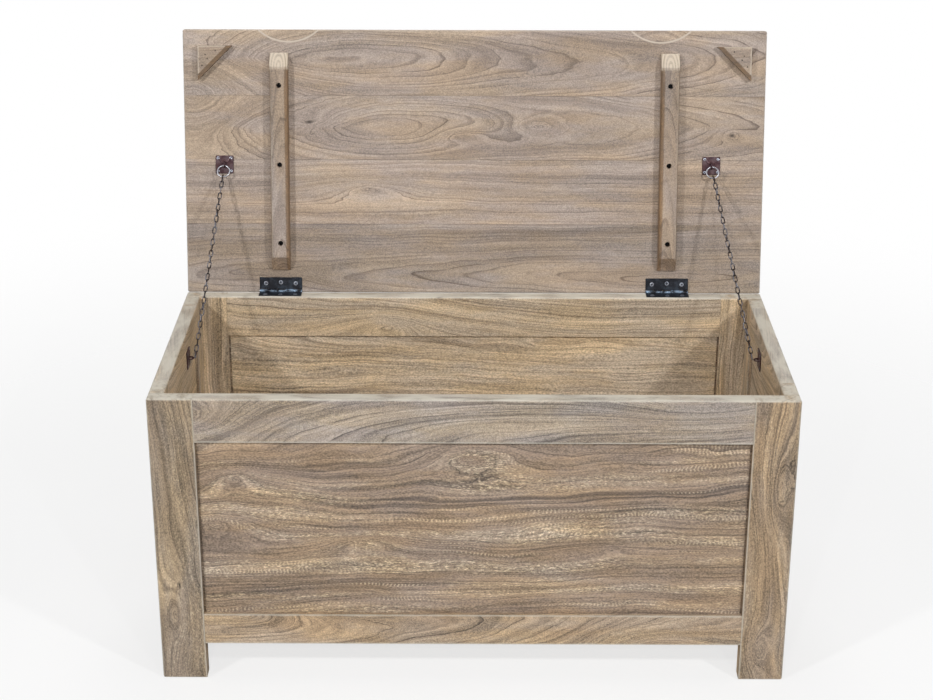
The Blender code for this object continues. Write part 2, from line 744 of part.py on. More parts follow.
def staple_holes():
    depth = STAPLE_LEG + FIT_GAP + PLATE_THICKNESS + STAPLE_RISE
    hole = STAPLE_WIRE / 2 + FIT_GAP
    legs = []
    for y in (-STAPLE_BEND_RADIUS, STAPLE_BEND_RADIUS):
        legs.append(shifted(turned([(0, 0), (hole, 0), (hole, -depth), (0, -depth)]),
                            (0, y, depth - STAPLE_LEG - FIT_GAP)))
    return join(legs)


def plate_screw_places():
    reach = PLATE_SIZE / 2 - PLATE_SCREW_INSET
    top = FIT_GAP + PLATE_THICKNESS
    return [Matrix.Translation((sx * reach, sy * reach, top)) for sx in (-1, 1) for sy in (-1, 1)]


def plate_frames(group):
    """Where each chain plate lies: on the lid's underside, or inside a side rail."""
    frames = {}
    for side, sign in SIDES.items():
        if group == "lid":
            x = sign * (HALF_WIDTH - LID_PLATE_END_DISTANCE[side])
            frames[side] = upward(x, lid_y(LID_PLATE_REACH), LID_UNDERSIDE)
        else:
            place = (sign * (HALF_WIDTH - FRAME_THICKNESS), FRONT_Y + SIDE_PLATE_REACH,
                     CARCASS_HEIGHT - SIDE_PLATE_DROP)
            frames[side] = Matrix.Translation(place) @ Matrix.Rotation(-sign * math.pi / 2, 4, "Y")
    return frames


def build_chain_plates(group, parent, woods):
    """On each side a plate with its four screws, a staple, and their holes in the wood."""
    for side, frame in plate_frames(group).items():
        name = f"{side}_{group}_chain_plate"
        drives = [frame @ place for place in plate_screw_places()]
        leg_holes = add_cutter(name + "_leg_holes", placed(staple_holes, [frame]), parent)
        screw_holes = add_cutter(name + "_screw_holes", placed(lambda: peg(
            PLATE_SCREW_RADIUS + FIT_GAP, 0, PLATE_SCREW_LENGTH + FIT_GAP), drives), parent)
        plate = add_part(name, placed(plate_body, [frame]), BROWN_IRON, parent)
        combine(plate, leg_holes)
        combine(plate, add_cutter(name + "_screws", placed(plate_screw_body, drives), parent), "UNION")
        add_part(f"{side}_{group}_chain_staple", placed(staple_body, [frame]), BROWN_IRON, parent)
        for wood in woods[side]:
            combine(wood, screw_holes)
            combine(wood, leg_holes)


# Chains: a ring and a straight run of links from each lid staple to the staple on the side

def ring_body():
    """The ring, hanging along +Z from the place where it turns in the staple."""
    points = [(x, 0, RING_RADIUS + z) for x, z in arc(RING_RADIUS, 0, 2 * math.pi, 20)[:-1]]
    return wire(points, RING_WIRE, True)


def link_body(inside_length, turn):
    """One link, its inside starting at z = 0; turn swings it about the chain's line."""
    bend = (LINK_WIDTH - LINK_WIRE) / 2
    first = bend - LINK_WIRE / 2
    last = inside_length - first
    points = [(x, 0, last + z) for x, z in arc(bend, 0, math.pi, LINK_BEND_STEPS)]
    points += [(x, 0, first + z) for x, z in arc(bend, math.pi, 2 * math.pi, LINK_BEND_STEPS)]
    link = wire(points, LINK_WIRE, True)
    bmesh.ops.rotate(link, verts=link.verts, matrix=Matrix.Rotation(turn, 3, "Z"))
    return link


def add_links(name, start, count, pitch, first_level, parent):
    """A run of links joined where they touch; level links lie along the hinge axis."""
    runs = {0: [], 1: []}
    for index in range(count):
        level = (index + first_level) % 2
        link = link_body(pitch - LINK_BITE, 0 if level else math.pi / 2)
        runs[level].append(shifted(link, (0, 0, start + index * pitch)))
    part = add_part(name, join(runs[first_level]), CHAIN_STEEL, parent)
    combine(part, add_cutter(name + "_between", join(runs[1 - first_level]), parent), "UNION")


def chain_ends(side):
    """Where the ring turns in the lid's staple, and where the last link meets the side's."""
    rise = FIT_GAP + PLATE_THICKNESS + STAPLE_RISE
    staple = LID_MATRIX @ plate_frames("lid")[side] @ Vector((0, 0, rise))
    inboard = rise + STAPLE_BEND_RADIUS + STAPLE_WIRE / 2 + LINK_GAP + LINK_WIRE / 2
    end = plate_frames("side")[side] @ Vector((0, 0, inboard))
    slack = STAPLE_BEND_RADIUS - (STAPLE_WIRE + RING_WIRE) / 2 - LINK_GAP
    pull = (end - staple).normalized()
    pull.x = 0
    return staple + slack * pull.normalized(), end


def chain_frame(start, end):
    """Turns +Z along the chain and keeps +X level with the hinge axis as far as it can."""
    along = (end - start).normalized()
    across = (Vector((1, 0, 0)) - along.x * along).normalized()
    frame = Matrix((across, along.cross(across), along)).transposed().to_4x4()
    return Matrix.Translation(start) @ frame


def build_chain(side):
    """Ring and upper links, a few links across the fold, and the lower links.

    The links of a run bite into each other a little, so that a run is one body, and the links
    at the fold keep a gap to both other runs.
    """
    start, end = chain_ends(side)
    length = (end - start).length
    first = 2 * RING_RADIUS - RING_WIRE / 2 - LINK_GAP
    loosened = LINK_BITE + LINK_GAP
    links_length = length - LINK_WIRE / 2 - first + LINK_BITE + 2 * loosened
    count = 2 * round((links_length / LINK_PITCH - 1) / 2) + 1
    pitch = links_length / count
    inside = pitch - LINK_BITE
    upper_count = 2 * ((count - FOLD_LINKS + 2) // 4)
    lower_count = count - upper_count - FOLD_LINKS
    fold_start = first + (upper_count - 1) * pitch + inside + LINK_WIRE / 2
    fold_reach = (FOLD_LINKS - 1) * pitch + inside - LINK_WIRE - 2 * LINK_GAP
    hooked = -LINK_WIRE / 2 - LINK_GAP

    upper = add_pivot(side + "_chain_upper_pivot", None, chain_frame(start, end))
    middle = add_pivot(side + "_chain_fold_pivot", upper, Matrix.Translation((0, 0, fold_start)))
    lower = add_pivot(side + "_chain_lower_pivot", middle, Matrix.Translation((0, 0, fold_reach)))
    add_part(side + "_chain_ring", ring_body(), CHAIN_STEEL, upper)
    add_links(side + "_chain_upper_links", first, upper_count, pitch, 0, upper)
    add_links(side + "_chain_fold_links", hooked, FOLD_LINKS, pitch, 0, middle)
    add_links(side + "_chain_lower_links", LINK_WIRE / 2, lower_count, pitch, 1, lower)


def build_chest():
    top_rails = {side: build_wall(side) for side in ("front", "back", "left", "right")}
    build_bottom()
    lid_pivot = add_pivot("lid_hinge_pivot", None, LID_MATRIX)
    boards = build_lid_boards(lid_pivot)
    build_battens(lid_pivot, boards)
    build_corner_blocks(lid_pivot, boards)
    build_hinges(lid_pivot, boards["rear"], top_rails["back"])
    build_chain_plates("lid", lid_pivot, {side: (boards["inner"], boards["outer"]) for side in SIDES})
    build_chain_plates("side", None, {side: (top_rails[side],) for side in SIDES})
    for side in SIDES:
        build_chain(side)


build_chest()
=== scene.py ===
"""A weathered blanket chest with its lid open on two chains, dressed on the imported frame."""
import json
import math

import bmesh
import bpy
from mathutils import Matrix, Vector


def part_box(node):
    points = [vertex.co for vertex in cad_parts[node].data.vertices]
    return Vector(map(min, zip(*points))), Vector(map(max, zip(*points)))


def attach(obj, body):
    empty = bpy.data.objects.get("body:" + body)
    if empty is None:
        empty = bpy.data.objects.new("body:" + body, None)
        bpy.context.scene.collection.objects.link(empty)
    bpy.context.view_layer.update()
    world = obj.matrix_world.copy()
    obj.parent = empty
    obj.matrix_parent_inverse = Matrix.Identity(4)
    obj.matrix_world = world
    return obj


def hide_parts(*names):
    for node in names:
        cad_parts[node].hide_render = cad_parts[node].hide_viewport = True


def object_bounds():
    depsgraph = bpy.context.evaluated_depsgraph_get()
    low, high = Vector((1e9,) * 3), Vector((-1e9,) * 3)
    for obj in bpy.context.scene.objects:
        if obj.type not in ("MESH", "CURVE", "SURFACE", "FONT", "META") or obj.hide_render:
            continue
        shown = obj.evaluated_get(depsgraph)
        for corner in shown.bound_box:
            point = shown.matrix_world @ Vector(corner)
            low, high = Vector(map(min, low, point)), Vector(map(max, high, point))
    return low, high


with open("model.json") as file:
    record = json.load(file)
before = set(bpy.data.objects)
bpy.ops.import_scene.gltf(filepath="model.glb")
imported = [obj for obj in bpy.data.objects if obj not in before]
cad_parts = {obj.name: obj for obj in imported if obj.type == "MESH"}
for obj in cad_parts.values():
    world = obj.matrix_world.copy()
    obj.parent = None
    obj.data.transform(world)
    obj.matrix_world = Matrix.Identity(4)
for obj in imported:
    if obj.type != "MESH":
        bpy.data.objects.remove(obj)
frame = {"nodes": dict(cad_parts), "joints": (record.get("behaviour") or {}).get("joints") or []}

cad_low, cad_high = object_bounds()

# Corner posts
# Each post is two boards of grey-brown hardwood glued at a right angle: a wide one on the face and
# a narrow one on the end of the chest. The grain stands upright and the arrises are rubbed pale.


class Graph:
    """Adds nodes to one node tree; an input is a socket to link or a plain value to set."""

    def __init__(self, tree):
        self.tree = tree

    def add(self, kind, inputs, **settings):
        node = self.tree.nodes.new("ShaderNode" + kind)
        for name, value in settings.items():
            setattr(node, name, value)
        for key, value in inputs.items():
            self.set(node.inputs[key], value)
        return node

    def set(self, socket, value):
        if isinstance(value, bpy.types.NodeSocket):
            self.tree.links.new(value, socket)
        else:
            socket.default_value = (*value, 1) if socket.type == "RGBA" else value

    def math(self, operation, first, second=0.0, third=0.0):
        return self.add("Math", {0: first, 1: second, 2: third}, operation=operation).outputs[0]

    def plus(self, first, *others):
        for other in others:
            first = self.math("ADD", first, other)
        return first

    def minus(self, first, second):
        return self.math("SUBTRACT", first, second)

    def times(self, first, *others):
        for other in others:
            first = self.math("MULTIPLY", first, other)
        return first

    def line(self, value, slope, start):
        return self.math("MULTIPLY_ADD", value, slope, start)

    def vector(self, operation, first, second=(0, 0, 0)):
        return self.add("VectorMath", {0: first, 1: second}, operation=operation).outputs[0]

    def scaled(self, vector, amount):
        return self.add("VectorMath", {0: vector, "Scale": amount}, operation="SCALE").outputs[0]

    def length(self, vector):
        return self.add("VectorMath", {0: vector}, operation="LENGTH").outputs["Value"]

    def joined(self, x, y, z):
        return self.add("CombineXYZ", {"X": x, "Y": y, "Z": z}).outputs[0]

    def axes(self, vector):
        return self.add("SeparateXYZ", {0: vector}).outputs

    def place(self):
        return self.add("TexCoord", {}).outputs["Object"]

    def cloud(self, place, stretch, detail, roughness=0.5):
        """The outputs of noise that is drawn out along the axes whose stretch is small."""
        inputs = {"Vector": self.vector("MULTIPLY", place, stretch), "Scale": 1.0, "Detail": detail,
                  "Roughness": roughness}
        return self.add("TexNoise", inputs).outputs

    def noise(self, place, stretch, detail, roughness=0.5):
        return self.cloud(place, stretch, detail, roughness)["Fac"]

    def drift(self, place, stretch):
        """A wandering shift about zero in all three directions."""
        return self.vector("SUBTRACT", self.cloud(place, stretch, 2)["Color"], (0.5, 0.5, 0.5))

    def between(self, value, low, high):
        """Rises smoothly from 0 at low to 1 at high."""
        return self.add("MapRange", {"Value": value, "From Min": low, "From Max": high},
                        interpolation_type="SMOOTHSTEP").outputs[0]

    def spots(self, place, stretch, detail, low, high, roughness=0.5):
        """A mask of the patches where noise is stronger than low, full from high on."""
        return self.between(self.noise(place, stretch, detail, roughness), low, high)

    def mix(self, share, first, second, blend="MIX"):
        return self.add("Mix", {0: share, 6: first, 7: second}, data_type="RGBA",
                        blend_type=blend).outputs[2]


def start_group(name, inputs, outputs):
    """A node group with named sockets: its graph, its inputs by name, and its output sockets."""
    tree = bpy.data.node_groups.new(name, "ShaderNodeTree")
    for sockets, side in ((inputs, "INPUT"), (outputs, "OUTPUT")):
        for socket, kind in sockets.items():
            tree.interface.new_socket(socket, in_out=side, socket_type="NodeSocket" + kind)
    given = tree.nodes.new("NodeGroupInput").outputs
    result = tree.nodes.new("NodeGroupOutput").inputs
    return Graph(tree), given, result


def make_worn_edge():
    """A mask along the arrises of a board, broken up as rubbing leaves it."""
    inputs = {"Place": "Vector", "Half Size": "Vector", "Width": "Float"}
    graph, given, result = start_group("worn_edge", inputs, {"Edge": "Float"})
    off_middle = graph.vector("ABSOLUTE", given["Place"])
    x, y, z = graph.axes(graph.vector("SUBTRACT", given["Half Size"], off_middle))
    lower = graph.math("MINIMUM", x, y)
    higher = graph.math("MAXIMUM", x, y)
    second = graph.math("MAXIMUM", lower, graph.math("MINIMUM", higher, z))
    patchy = graph.noise(given["Place"], (35, 90, 90), 3)
    reach = graph.times(given["Width"], patchy, 2.0)
    graph.set(result["Edge"], graph.between(second, reach, 0.0))
    return graph.tree


def make_knot_eye():
    """A knot: it lifts the growth rings round it into eyes and leaves a dark heart."""
    inputs = {"Place": "Vector", "Centre": "Vector", "Reach": "Vector", "Height": "Float",
              "Heart Size": "Float"}
    graph, given, result = start_group("knot_eye", inputs, {"Lift": "Float", "Heart": "Float"})
    away = graph.vector("SUBTRACT", given["Place"], given["Centre"])
    ragged = graph.drift(given["Place"], (60, 110, 110))
    away = graph.vector("ADD", away, graph.vector("MULTIPLY", ragged, (0.012, 0.006, 0.006)))
    distance = graph.length(graph.vector("DIVIDE", away, given["Reach"]))
    fall = graph.math("EXPONENT", graph.times(distance, -1.5))
    graph.set(result["Lift"], graph.times(fall, given["Height"]))
    graph.set(result["Heart"], graph.between(distance, given["Heart Size"], 0.0))
    return graph.tree


def follow_growth(graph, given):
    """The places that the figure of the wood follows.

    loose is the board's place, moved by its seed; bent wanders with the grain; x runs along the
    board; field is the distance from the tree's heart; flow runs along the growth rings.
    """
    loose = graph.vector("ADD", given["Place"], given["Seed"])
    sway = graph.vector("MULTIPLY", graph.drift(loose, (3, 9, 9)), (0, 2, 2))
    wriggle = graph.vector("MULTIPLY", graph.drift(loose, (13, 34, 34)), (0, 0.3, 0.3))
    sway = graph.scaled(graph.vector("ADD", sway, wriggle), given["Wander"])
    short = graph.joined(given["Shortness"], 1.0, 1.0)
    bent = graph.vector("MULTIPLY", graph.vector("ADD", loose, sway), short)
    x, y, z = graph.axes(graph.vector("ADD", given["Place"], sway))
    slope, heart_y, heart_z = graph.axes(given["Heart"])
    across = graph.minus(y, heart_y)
    down = graph.plus(graph.minus(z, heart_z), graph.times(slope, x))
    radius = graph.math("SQRT", graph.plus(graph.times(across, across), graph.times(down, down)))
    ruffle = graph.times(graph.noise(loose, (22, 85, 85), 3), 0.0018)
    field = graph.plus(radius, given["Lift"], ruffle)
    flow = graph.vector("ADD", graph.joined(x, field, y), given["Seed"])
    return loose, bent, x, field, flow


def growth_rings(graph, loose, field, ring_width):
    """Thin dark lines of late wood, a few years much stronger than the rest."""
    years = graph.math("DIVIDE", field, ring_width)
    uneven = graph.add("TexNoise", {"W": graph.times(years, 0.45), "Scale": 1.0}, noise_dimensions="1D")
    years = graph.plus(years, graph.times(uneven.outputs["Fac"], 2.2))
    season = graph.math("FRACT", years)
    year = graph.math("FLOOR", years)
    vigour = graph.add("TexWhiteNoise", {"W": year}, noise_dimensions="1D").outputs["Value"]
    strong = graph.line(graph.math("POWER", vigour, 1.5), 0.75, 0.25)
    line = graph.times(graph.between(season, 0.72, 0.94), graph.between(season, 1.0, 0.955))
    wash = graph.times(graph.between(season, 0.1, 0.95), 0.25)
    broken = graph.spots(loose, (18, 50, 50), 3, 0.26, 0.5)
    return graph.times(graph.math("MAXIMUM", line, wash), graph.times(broken, strong))


COLOURS = ("Pale", "Middle", "Dark", "Gold")


def make_grown_wood():
    """Flat-sawn weathered wood: growth rings about a heart, streaks, flecks, ripples and pores.

    Place is the board's own: +X along the grain, +Z out of its face. Heart gives the slope of the
    tree's heart along the board and its place across and below the face.
    """
    numbers = ("Ring Width", "Wander", "Shortness", "Lift", "Knot", "Edge", "Bleach",
               "Rings", "Lines", "Streaks", "Flecks", "Bloom", "Ripples", "Speckle", "Tone")
    inputs = {name: "Vector" for name in ("Place", "Seed", "Heart")}
    inputs.update({name: "Color" for name in (*COLOURS, "Worn")})
    inputs.update({name: "Float" for name in numbers})
    outputs = {"Color": "Color", "Roughness": "Float", "Height": "Float"}
    graph, given, result = start_group("grown_wood", inputs, outputs)
    loose, bent, x, field, flow = follow_growth(graph, given)
    rings = growth_rings(graph, loose, field, given["Ring Width"])

    # Streaks along the figure in bands, straw-coloured flecks in patches, ripples across the grain
    bands = graph.spots(loose, (0.8, 10, 10), 2, 0.38, 0.62)
    streaks = graph.spots(flow, (1.6, 150, 8), 4, 0.49, 0.64, 0.6)
    streaks = graph.times(streaks, graph.line(bands, 0.8, 0.2))
    patches = graph.spots(flow, (2.4, 40, 8), 4, 0.44, 0.66, 0.6)
    flecks = graph.spots(bent, (150, 520, 520), 3, 0.5, 0.62)
    flecks = graph.times(graph.line(flecks, 0.85, 0.15), patches)
    bloom = graph.spots(loose, (5, 15, 15), 5, 0.36, 0.68)
    phase = graph.times(graph.noise(loose, (30, 120, 120), 2), 14.0)
    wave = graph.math("SINE", graph.plus(graph.times(x, 1050.0), phase))
    ripple_bands = graph.spots(flow, (4, 110, 8), 2, 0.56, 0.7)
    ripples = graph.times(graph.between(wave, -0.3, 0.9), ripple_bands)

    # Fine lines and tone along the figure, and the dashes, mottle and pores of the sawn face
    lines = graph.noise(flow, (7, 360, 16), 3, 0.6)
    tone = graph.noise(flow, (3, 50, 5), 5, 0.62)
    dashes = graph.spots(bent, (290, 540, 540), 2, 0.3, 0.7, 0.6)
    mottle = graph.noise(bent, (90, 260, 260), 3, 0.6)
    pores = graph.spots(bent, (90, 720, 720), 2, 0.6, 0.74)

    def swing(value, reach):
        return graph.times(graph.minus(value, 0.5), reach)

    deep = graph.mix(1.0, given["Dark"], (0.72, 0.70, 0.70), "MULTIPLY")
    shade = given["Middle"]
    for name, mask, colour in (("Bloom", bloom, given["Pale"]), ("Streaks", streaks, given["Dark"]),
                               ("Flecks", flecks, given["Gold"]), ("Ripples", ripples, given["Gold"]),
                               ("Rings", rings, deep)):
        shade = graph.mix(graph.times(given[name], mask), shade, colour)
    warmth = graph.spots(loose, (6, 26, 26), 3, 0.34, 0.66, 0.6)
    tint = graph.mix(warmth, (0.965, 1.0, 1.07), (1.04, 1.0, 0.9))
    shade = graph.mix(1.0, shade, tint, "MULTIPLY")
    light = graph.times(given["Speckle"], graph.plus(swing(dashes, 0.3), swing(mottle, 0.25)))
    for name, value in (("Tone", tone), ("Lines", lines)):
        light = graph.plus(light, graph.times(given[name], swing(value, 1.0)))
    shade = graph.scaled(shade, graph.plus(light, 1.0))
    shade = graph.mix(graph.times(pores, 0.25), shade, deep)

    # Rubbing bleaches the wood, and painted highlight makes it pale on the battens' front slopes and the
    # finger pulls' rims; a knot's heart is nearly black
    wear_and_highlight = graph.math("MAXIMUM", graph.times(given["Edge"], 0.6), given["Bleach"])
    shade = graph.mix(wear_and_highlight, shade, given["Worn"])
    knot_heart = graph.mix(1.0, given["Dark"], (0.22, 0.2, 0.2), "MULTIPLY")
    graph.set(result["Color"], graph.mix(given["Knot"], shade, knot_heart))
    rough = graph.line(dashes, 0.2, 0.52)
    graph.set(result["Roughness"], graph.minus(rough, graph.times(given["Edge"], 0.12)))
    grooves = graph.plus(graph.times(pores, 0.8), graph.times(rings, 0.5))
    graph.set(result["Height"], graph.minus(graph.line(dashes, 0.5, mottle), grooves))
    return graph.tree


WORN_EDGE = make_worn_edge()
KNOT_EYE = make_knot_eye()
GROWN_WOOD = make_grown_wood()
ARRIS_WEAR = 0.0035
BOARD_FACE = 0.0125
KNOT_DEPTH = 0.05


def knot(x, y, length, width, lift, heart=0.0, face=BOARD_FACE):
    """A knot on a board's face: its centre, its reach, how far it lifts the rings, its dark heart."""
    return (x, y, face), (length, width, KNOT_DEPTH), lift, heart


def board_frame(points, grain, face):
    """A board's middle, its turn from its own axes to the world's, and half its size."""
    turn = Matrix((grain, face.cross(grain), face)).transposed()
    local = [turn.transposed() @ point for point in points]
    low = Vector([min(p[i] for p in local) for i in range(3)])
    high = Vector([max(p[i] for p in local) for i in range(3)])
    return turn @ ((low + high) / 2), turn, (high - low) / 2


def start_material(name):
    """A new material with its graph and its shader."""
    material = bpy.data.materials.new(name)
    material.use_nodes = True
    return material, Graph(material.node_tree), material.node_tree.nodes["Principled BSDF"]


def feed_shader(graph, shader, group, strength, depth):
    """Gives the shader a group's colour and roughness, and its height as a bump."""
    bump = graph.add("Bump", {"Strength": strength, "Distance": depth, "Height": group.outputs["Height"]})
    graph.set(shader.inputs["Base Color"], group.outputs["Color"])
    graph.set(shader.inputs["Roughness"], group.outputs["Roughness"])
    graph.set(shader.inputs["Normal"], bump.outputs[0])


def wood_material(name, board, seed, heart, look, knots=(), other=None, bleach=None, outline=None):
    """Weathered wood for one board, grown about its own heart and round its knots.

    other is a second set of colours and the mask where they show, unworn; on batten and block sides
    these colours are partly painted shade. A further mask adds bleaching from use, and painted highlight
    on the battens' front slopes and the finger pulls' rims. Each mask is made by a function of the graph,
    the place on the board and the board's half size. Where boards are glued up, outline is the middle
    and half size of the whole, so that only its own arrises rub pale.
    """
    centre, turn, half = board
    outline_centre, outline_half = outline or (centre, half)
    material, graph, shader = start_material(name)
    place = graph.add("Mapping", {"Vector": graph.place(), "Location": centre, "Rotation": turn.to_euler()},
                      vector_type="TEXTURE").outputs[0]
    outline_place = graph.vector("ADD", place, turn.transposed() @ (centre - outline_centre))
    edge = graph.add("Group", {"Place": outline_place, "Half Size": outline_half, "Width": ARRIS_WEAR},
                     node_tree=WORN_EDGE).outputs["Edge"]
    inputs = {"Place": place, "Seed": seed, "Heart": heart, "Edge": edge, **look}
    if other:
        other_look, where = other
        share = where(graph, place, half)
        inputs["Edge"] = graph.times(edge, graph.minus(1.0, share))
        for colour in COLOURS:
            inputs[colour] = graph.mix(share, look[colour], other_look[colour])
    if bleach:
        inputs["Bleach"] = bleach(graph, place, half)
    for knot_centre, reach, height, heart_size in knots:
        eye = graph.add("Group", {"Place": place, "Centre": knot_centre, "Reach": reach, "Height": height,
                                  "Heart Size": heart_size}, node_tree=KNOT_EYE)
        for socket, part in (("Lift", "Lift"), ("Knot", "Heart")):
            inputs[socket] = graph.plus(eye.outputs[part], inputs.get(socket, 0.0))
    wood = graph.add("Group", inputs, node_tree=GROWN_WOOD)
    feed_shader(graph, shader, wood, strength=0.35, depth=0.0006)
    return material


def back_face(graph, place, half):
    """The face of a wall's board that looks into the chest and never saw daylight."""
    return graph.between(graph.axes(place)[2], 0.0012 - half.z, 0.0004 - half.z)


def rim_on(axis):
    """A mask for the end or edge of a board that lies in the chest's rim, bleached in patches."""

    def rim(graph, place, half):
        patchy = graph.spots(place, (14, 60, 60), 5, 0.36, 0.6, 0.6)
        top = graph.between(graph.axes(place)[axis], half[axis] - 0.003, half[axis] - 0.0004)
        return graph.times(top, graph.line(patchy, 0.6, 0.3))

    return rim


def corners_of(*nodes):
    return [v.co for node in nodes for v in frame["nodes"][node].data.vertices]


def paint_node(node, material):
    frame["nodes"][node].material_slots[0].material = material


def dress_board(node, grain, face, seed, heart, look, knots=(), **extras):
    """Gives a board of the frame its own piece of wood, and returns the wood."""
    board = board_frame(corners_of(node), grain, face)
    material = wood_material(node + "_wood", board, seed, heart, look, knots, **extras)
    paint_node(node, material)
    return material


SIDES = (("left", -1), ("right", 1))
UP, DOWN = Vector((0, 0, 1)), Vector((0, 0, -1))
RIGHT, LEFT = Vector((1, 0, 0)), Vector((-1, 0, 0))
FORWARD, BACKWARD = Vector((0, -1, 0)), Vector((0, 1, 0))
FACING = {"front": FORWARD, "back": BACKWARD, "left": LEFT, "right": RIGHT}
FRAME_LOOK = {"Pale": (0.455, 0.40, 0.338), "Middle": (0.348, 0.283, 0.232), "Dark": (0.115, 0.093, 0.079),
              "Gold": (0.54, 0.44, 0.31), "Worn": (0.60, 0.56, 0.475), "Ring Width": 0.006, "Wander": 0.014,
              "Rings": 1.0, "Lines": 1.0, "Streaks": 0.6, "Flecks": 0.55, "Bloom": 0.5, "Ripples": 0.2,
              "Speckle": 2.1, "Tone": 1.4, "Shortness": 1.7}
POST_LOOK = {**FRAME_LOOK, "Pale": (0.452, 0.346, 0.237), "Middle": (0.342, 0.248, 0.166),
             "Dark": (0.12, 0.088, 0.064), "Tone": 1.7, "Lines": 1.6, "Shortness": 1.2, "Ring Width": 0.005}
DARK_POST_LOOK = {**POST_LOOK, "Pale": (0.355, 0.28, 0.2), "Middle": (0.262, 0.197, 0.138)}
INSIDE_LOOK = {"Pale": (0.565, 0.455, 0.33), "Middle": (0.48, 0.372, 0.255), "Dark": (0.21, 0.15, 0.095),
               "Gold": (0.62, 0.50, 0.345)}
POST_HEART = Vector((0.05, 0.045, -0.06))
POST_KNOTS = {"front_left_post_face_board": [knot(-0.077, 0.0, 0.03, 0.007, 0.012, heart=0.32),
                                             knot(-0.13, 0.01, 0.06, 0.02, 0.035)],
              "front_right_post_face_board": [knot(0.1, -0.012, 0.12, 0.03, 0.045),
                                              knot(-0.19, 0.006, 0.06, 0.025, 0.04)]}
for number, end in enumerate(("front", "back")):
    for side, sign in SIDES:
        seed = Vector((3.1 * number + 1.7 * sign, 0.4 * sign, 0.9 * number))
        face_board = f"{end}_{side}_post_face_board"
        look = DARK_POST_LOOK if (end, side) == ("front", "left") else POST_LOOK
        finish = {"other": (INSIDE_LOOK, back_face), "bleach": rim_on(0)}
        dress_board(face_board, UP, FACING[end], seed, POST_HEART * Vector((sign, sign, 1)), look,
                    POST_KNOTS.get(face_board, ()), **finish)
        dress_board(f"{end}_{side}_post_return_board", UP, FACING[side], seed + Vector((5, 0, 0)),
                    POST_HEART, look, **finish)

# Rails
# Four top rails and four bottom rails of the same wood run between the posts on hidden tenons.
# Their grain lies level, and each was cut from a different board.

RAIL_HEARTS = {"front_top": (-0.12, -0.05, -0.045), "front_bottom": (0.16, 0.03, -0.05),
               "back_top": (0.1, 0.06, -0.05), "back_bottom": (-0.09, 0.02, -0.06),
               "left_top": (0.13, 0.05, -0.05), "left_bottom": (0.08, -0.03, -0.05),
               "right_top": (-0.13, 0.04, -0.06), "right_bottom": (0.1, 0.02, -0.06)}
RAIL_KNOTS = {"front_top": [knot(-0.455, 0.01, 0.12, 0.045, 0.09), knot(0.34, 0.045, 0.14, 0.05, 0.09)],
              "front_bottom": [knot(-0.2, 0.04, 0.13, 0.04, 0.07), knot(0.3, -0.03, 0.13, 0.04, 0.07)],
              "back_top": [knot(0.15, -0.02, 0.1, 0.04, 0.06, face=-BOARD_FACE)]}
LOW_RAIL_LOOK = {**POST_LOOK, "Pale": (0.505, 0.388, 0.265), "Middle": (0.39, 0.283, 0.19), "Shortness": 1.7}
ALONG = {"front": RIGHT, "back": LEFT, "left": FORWARD, "right": BACKWARD}
for number, (rail, heart) in enumerate(RAIL_HEARTS.items()):
    wall = rail.split("_")[0]
    seed = Vector((2.3 * number, 7.0, 0.6 * number))
    top = rail.endswith("top")
    look = FRAME_LOOK if top else LOW_RAIL_LOOK
    dress_board(rail + "_rail", ALONG[wall], FACING[wall], seed, heart, look, RAIL_KNOTS.get(rail, ()),
                other=(INSIDE_LOOK, back_face), bleach=rim_on(1) if top else None)

# Panels
# The panel of each wall floats in a groove of the frame, set back from its face. It is darker and
# browner than the frame, with grey streaks, straw-coloured flecks and fine ripples across the grain.

PANEL_LOOK = {"Pale": (0.40, 0.30, 0.217), "Middle": (0.295, 0.213, 0.15), "Dark": (0.085, 0.064, 0.053),
              "Gold": (0.74, 0.60, 0.42), "Worn": (0.50, 0.40, 0.30), "Ring Width": 0.006, "Wander": 0.024,
              "Rings": 0.85, "Lines": 1.5, "Streaks": 0.75, "Flecks": 0.85, "Bloom": 0.4, "Ripples": 0.5,
              "Speckle": 2.2, "Tone": 1.2, "Shortness": 1.0}
PANEL_FACE = 0.006
PANEL_HEART = (0.06, 0.165, -0.06)
PANEL_KNOTS = {"front": [knot(-0.373, 0.086, 0.08, 0.035, 0.065, heart=0.02, face=PANEL_FACE),
                         knot(-0.406, 0.007, 0.08, 0.035, 0.065, face=PANEL_FACE),
                         knot(-0.005, 0.121, 0.075, 0.028, 0.065, heart=0.03, face=PANEL_FACE),
                         knot(-0.165, -0.027, 0.10, 0.028, 0.05, face=PANEL_FACE),
                         knot(0.219, -0.036, 0.05, 0.012, 0.02, heart=0.06, face=PANEL_FACE)]}
for number, wall in enumerate(("front", "back", "left", "right")):
    seed = Vector((4.7 * number, 13.0, 1.1 * number))
    dress_board(wall + "_panel", ALONG[wall], FACING[wall], seed, PANEL_HEART, PANEL_LOOK,
                PANEL_KNOTS.get(wall, ()), other=(INSIDE_LOOK, back_face))

# Bottom
# A plain board floor lies loose on two bearers inside the long bottom rails. It was never stained,
# so it is paler and yellower than the outside.

BOTTOM_LOOK = {**PANEL_LOOK, **INSIDE_LOOK, "Streaks": 0.35, "Flecks": 0.3, "Ripples": 0.1}
for number, node in enumerate(("bottom_sheet", "front_bottom_bearer", "back_bottom_bearer")):
    dress_board(node, RIGHT, UP, Vector((1.9 * number, 21.0, 0.0)), (0.05, 0.1, -0.1), BOTTOM_LOOK)

# Lid boards
# Four wide boards glued edge to edge make the lid. Its underside shows, a shade paler and greyer
# than the chest, with broad arches and a few knots; two finger pulls are scooped from its front edge.

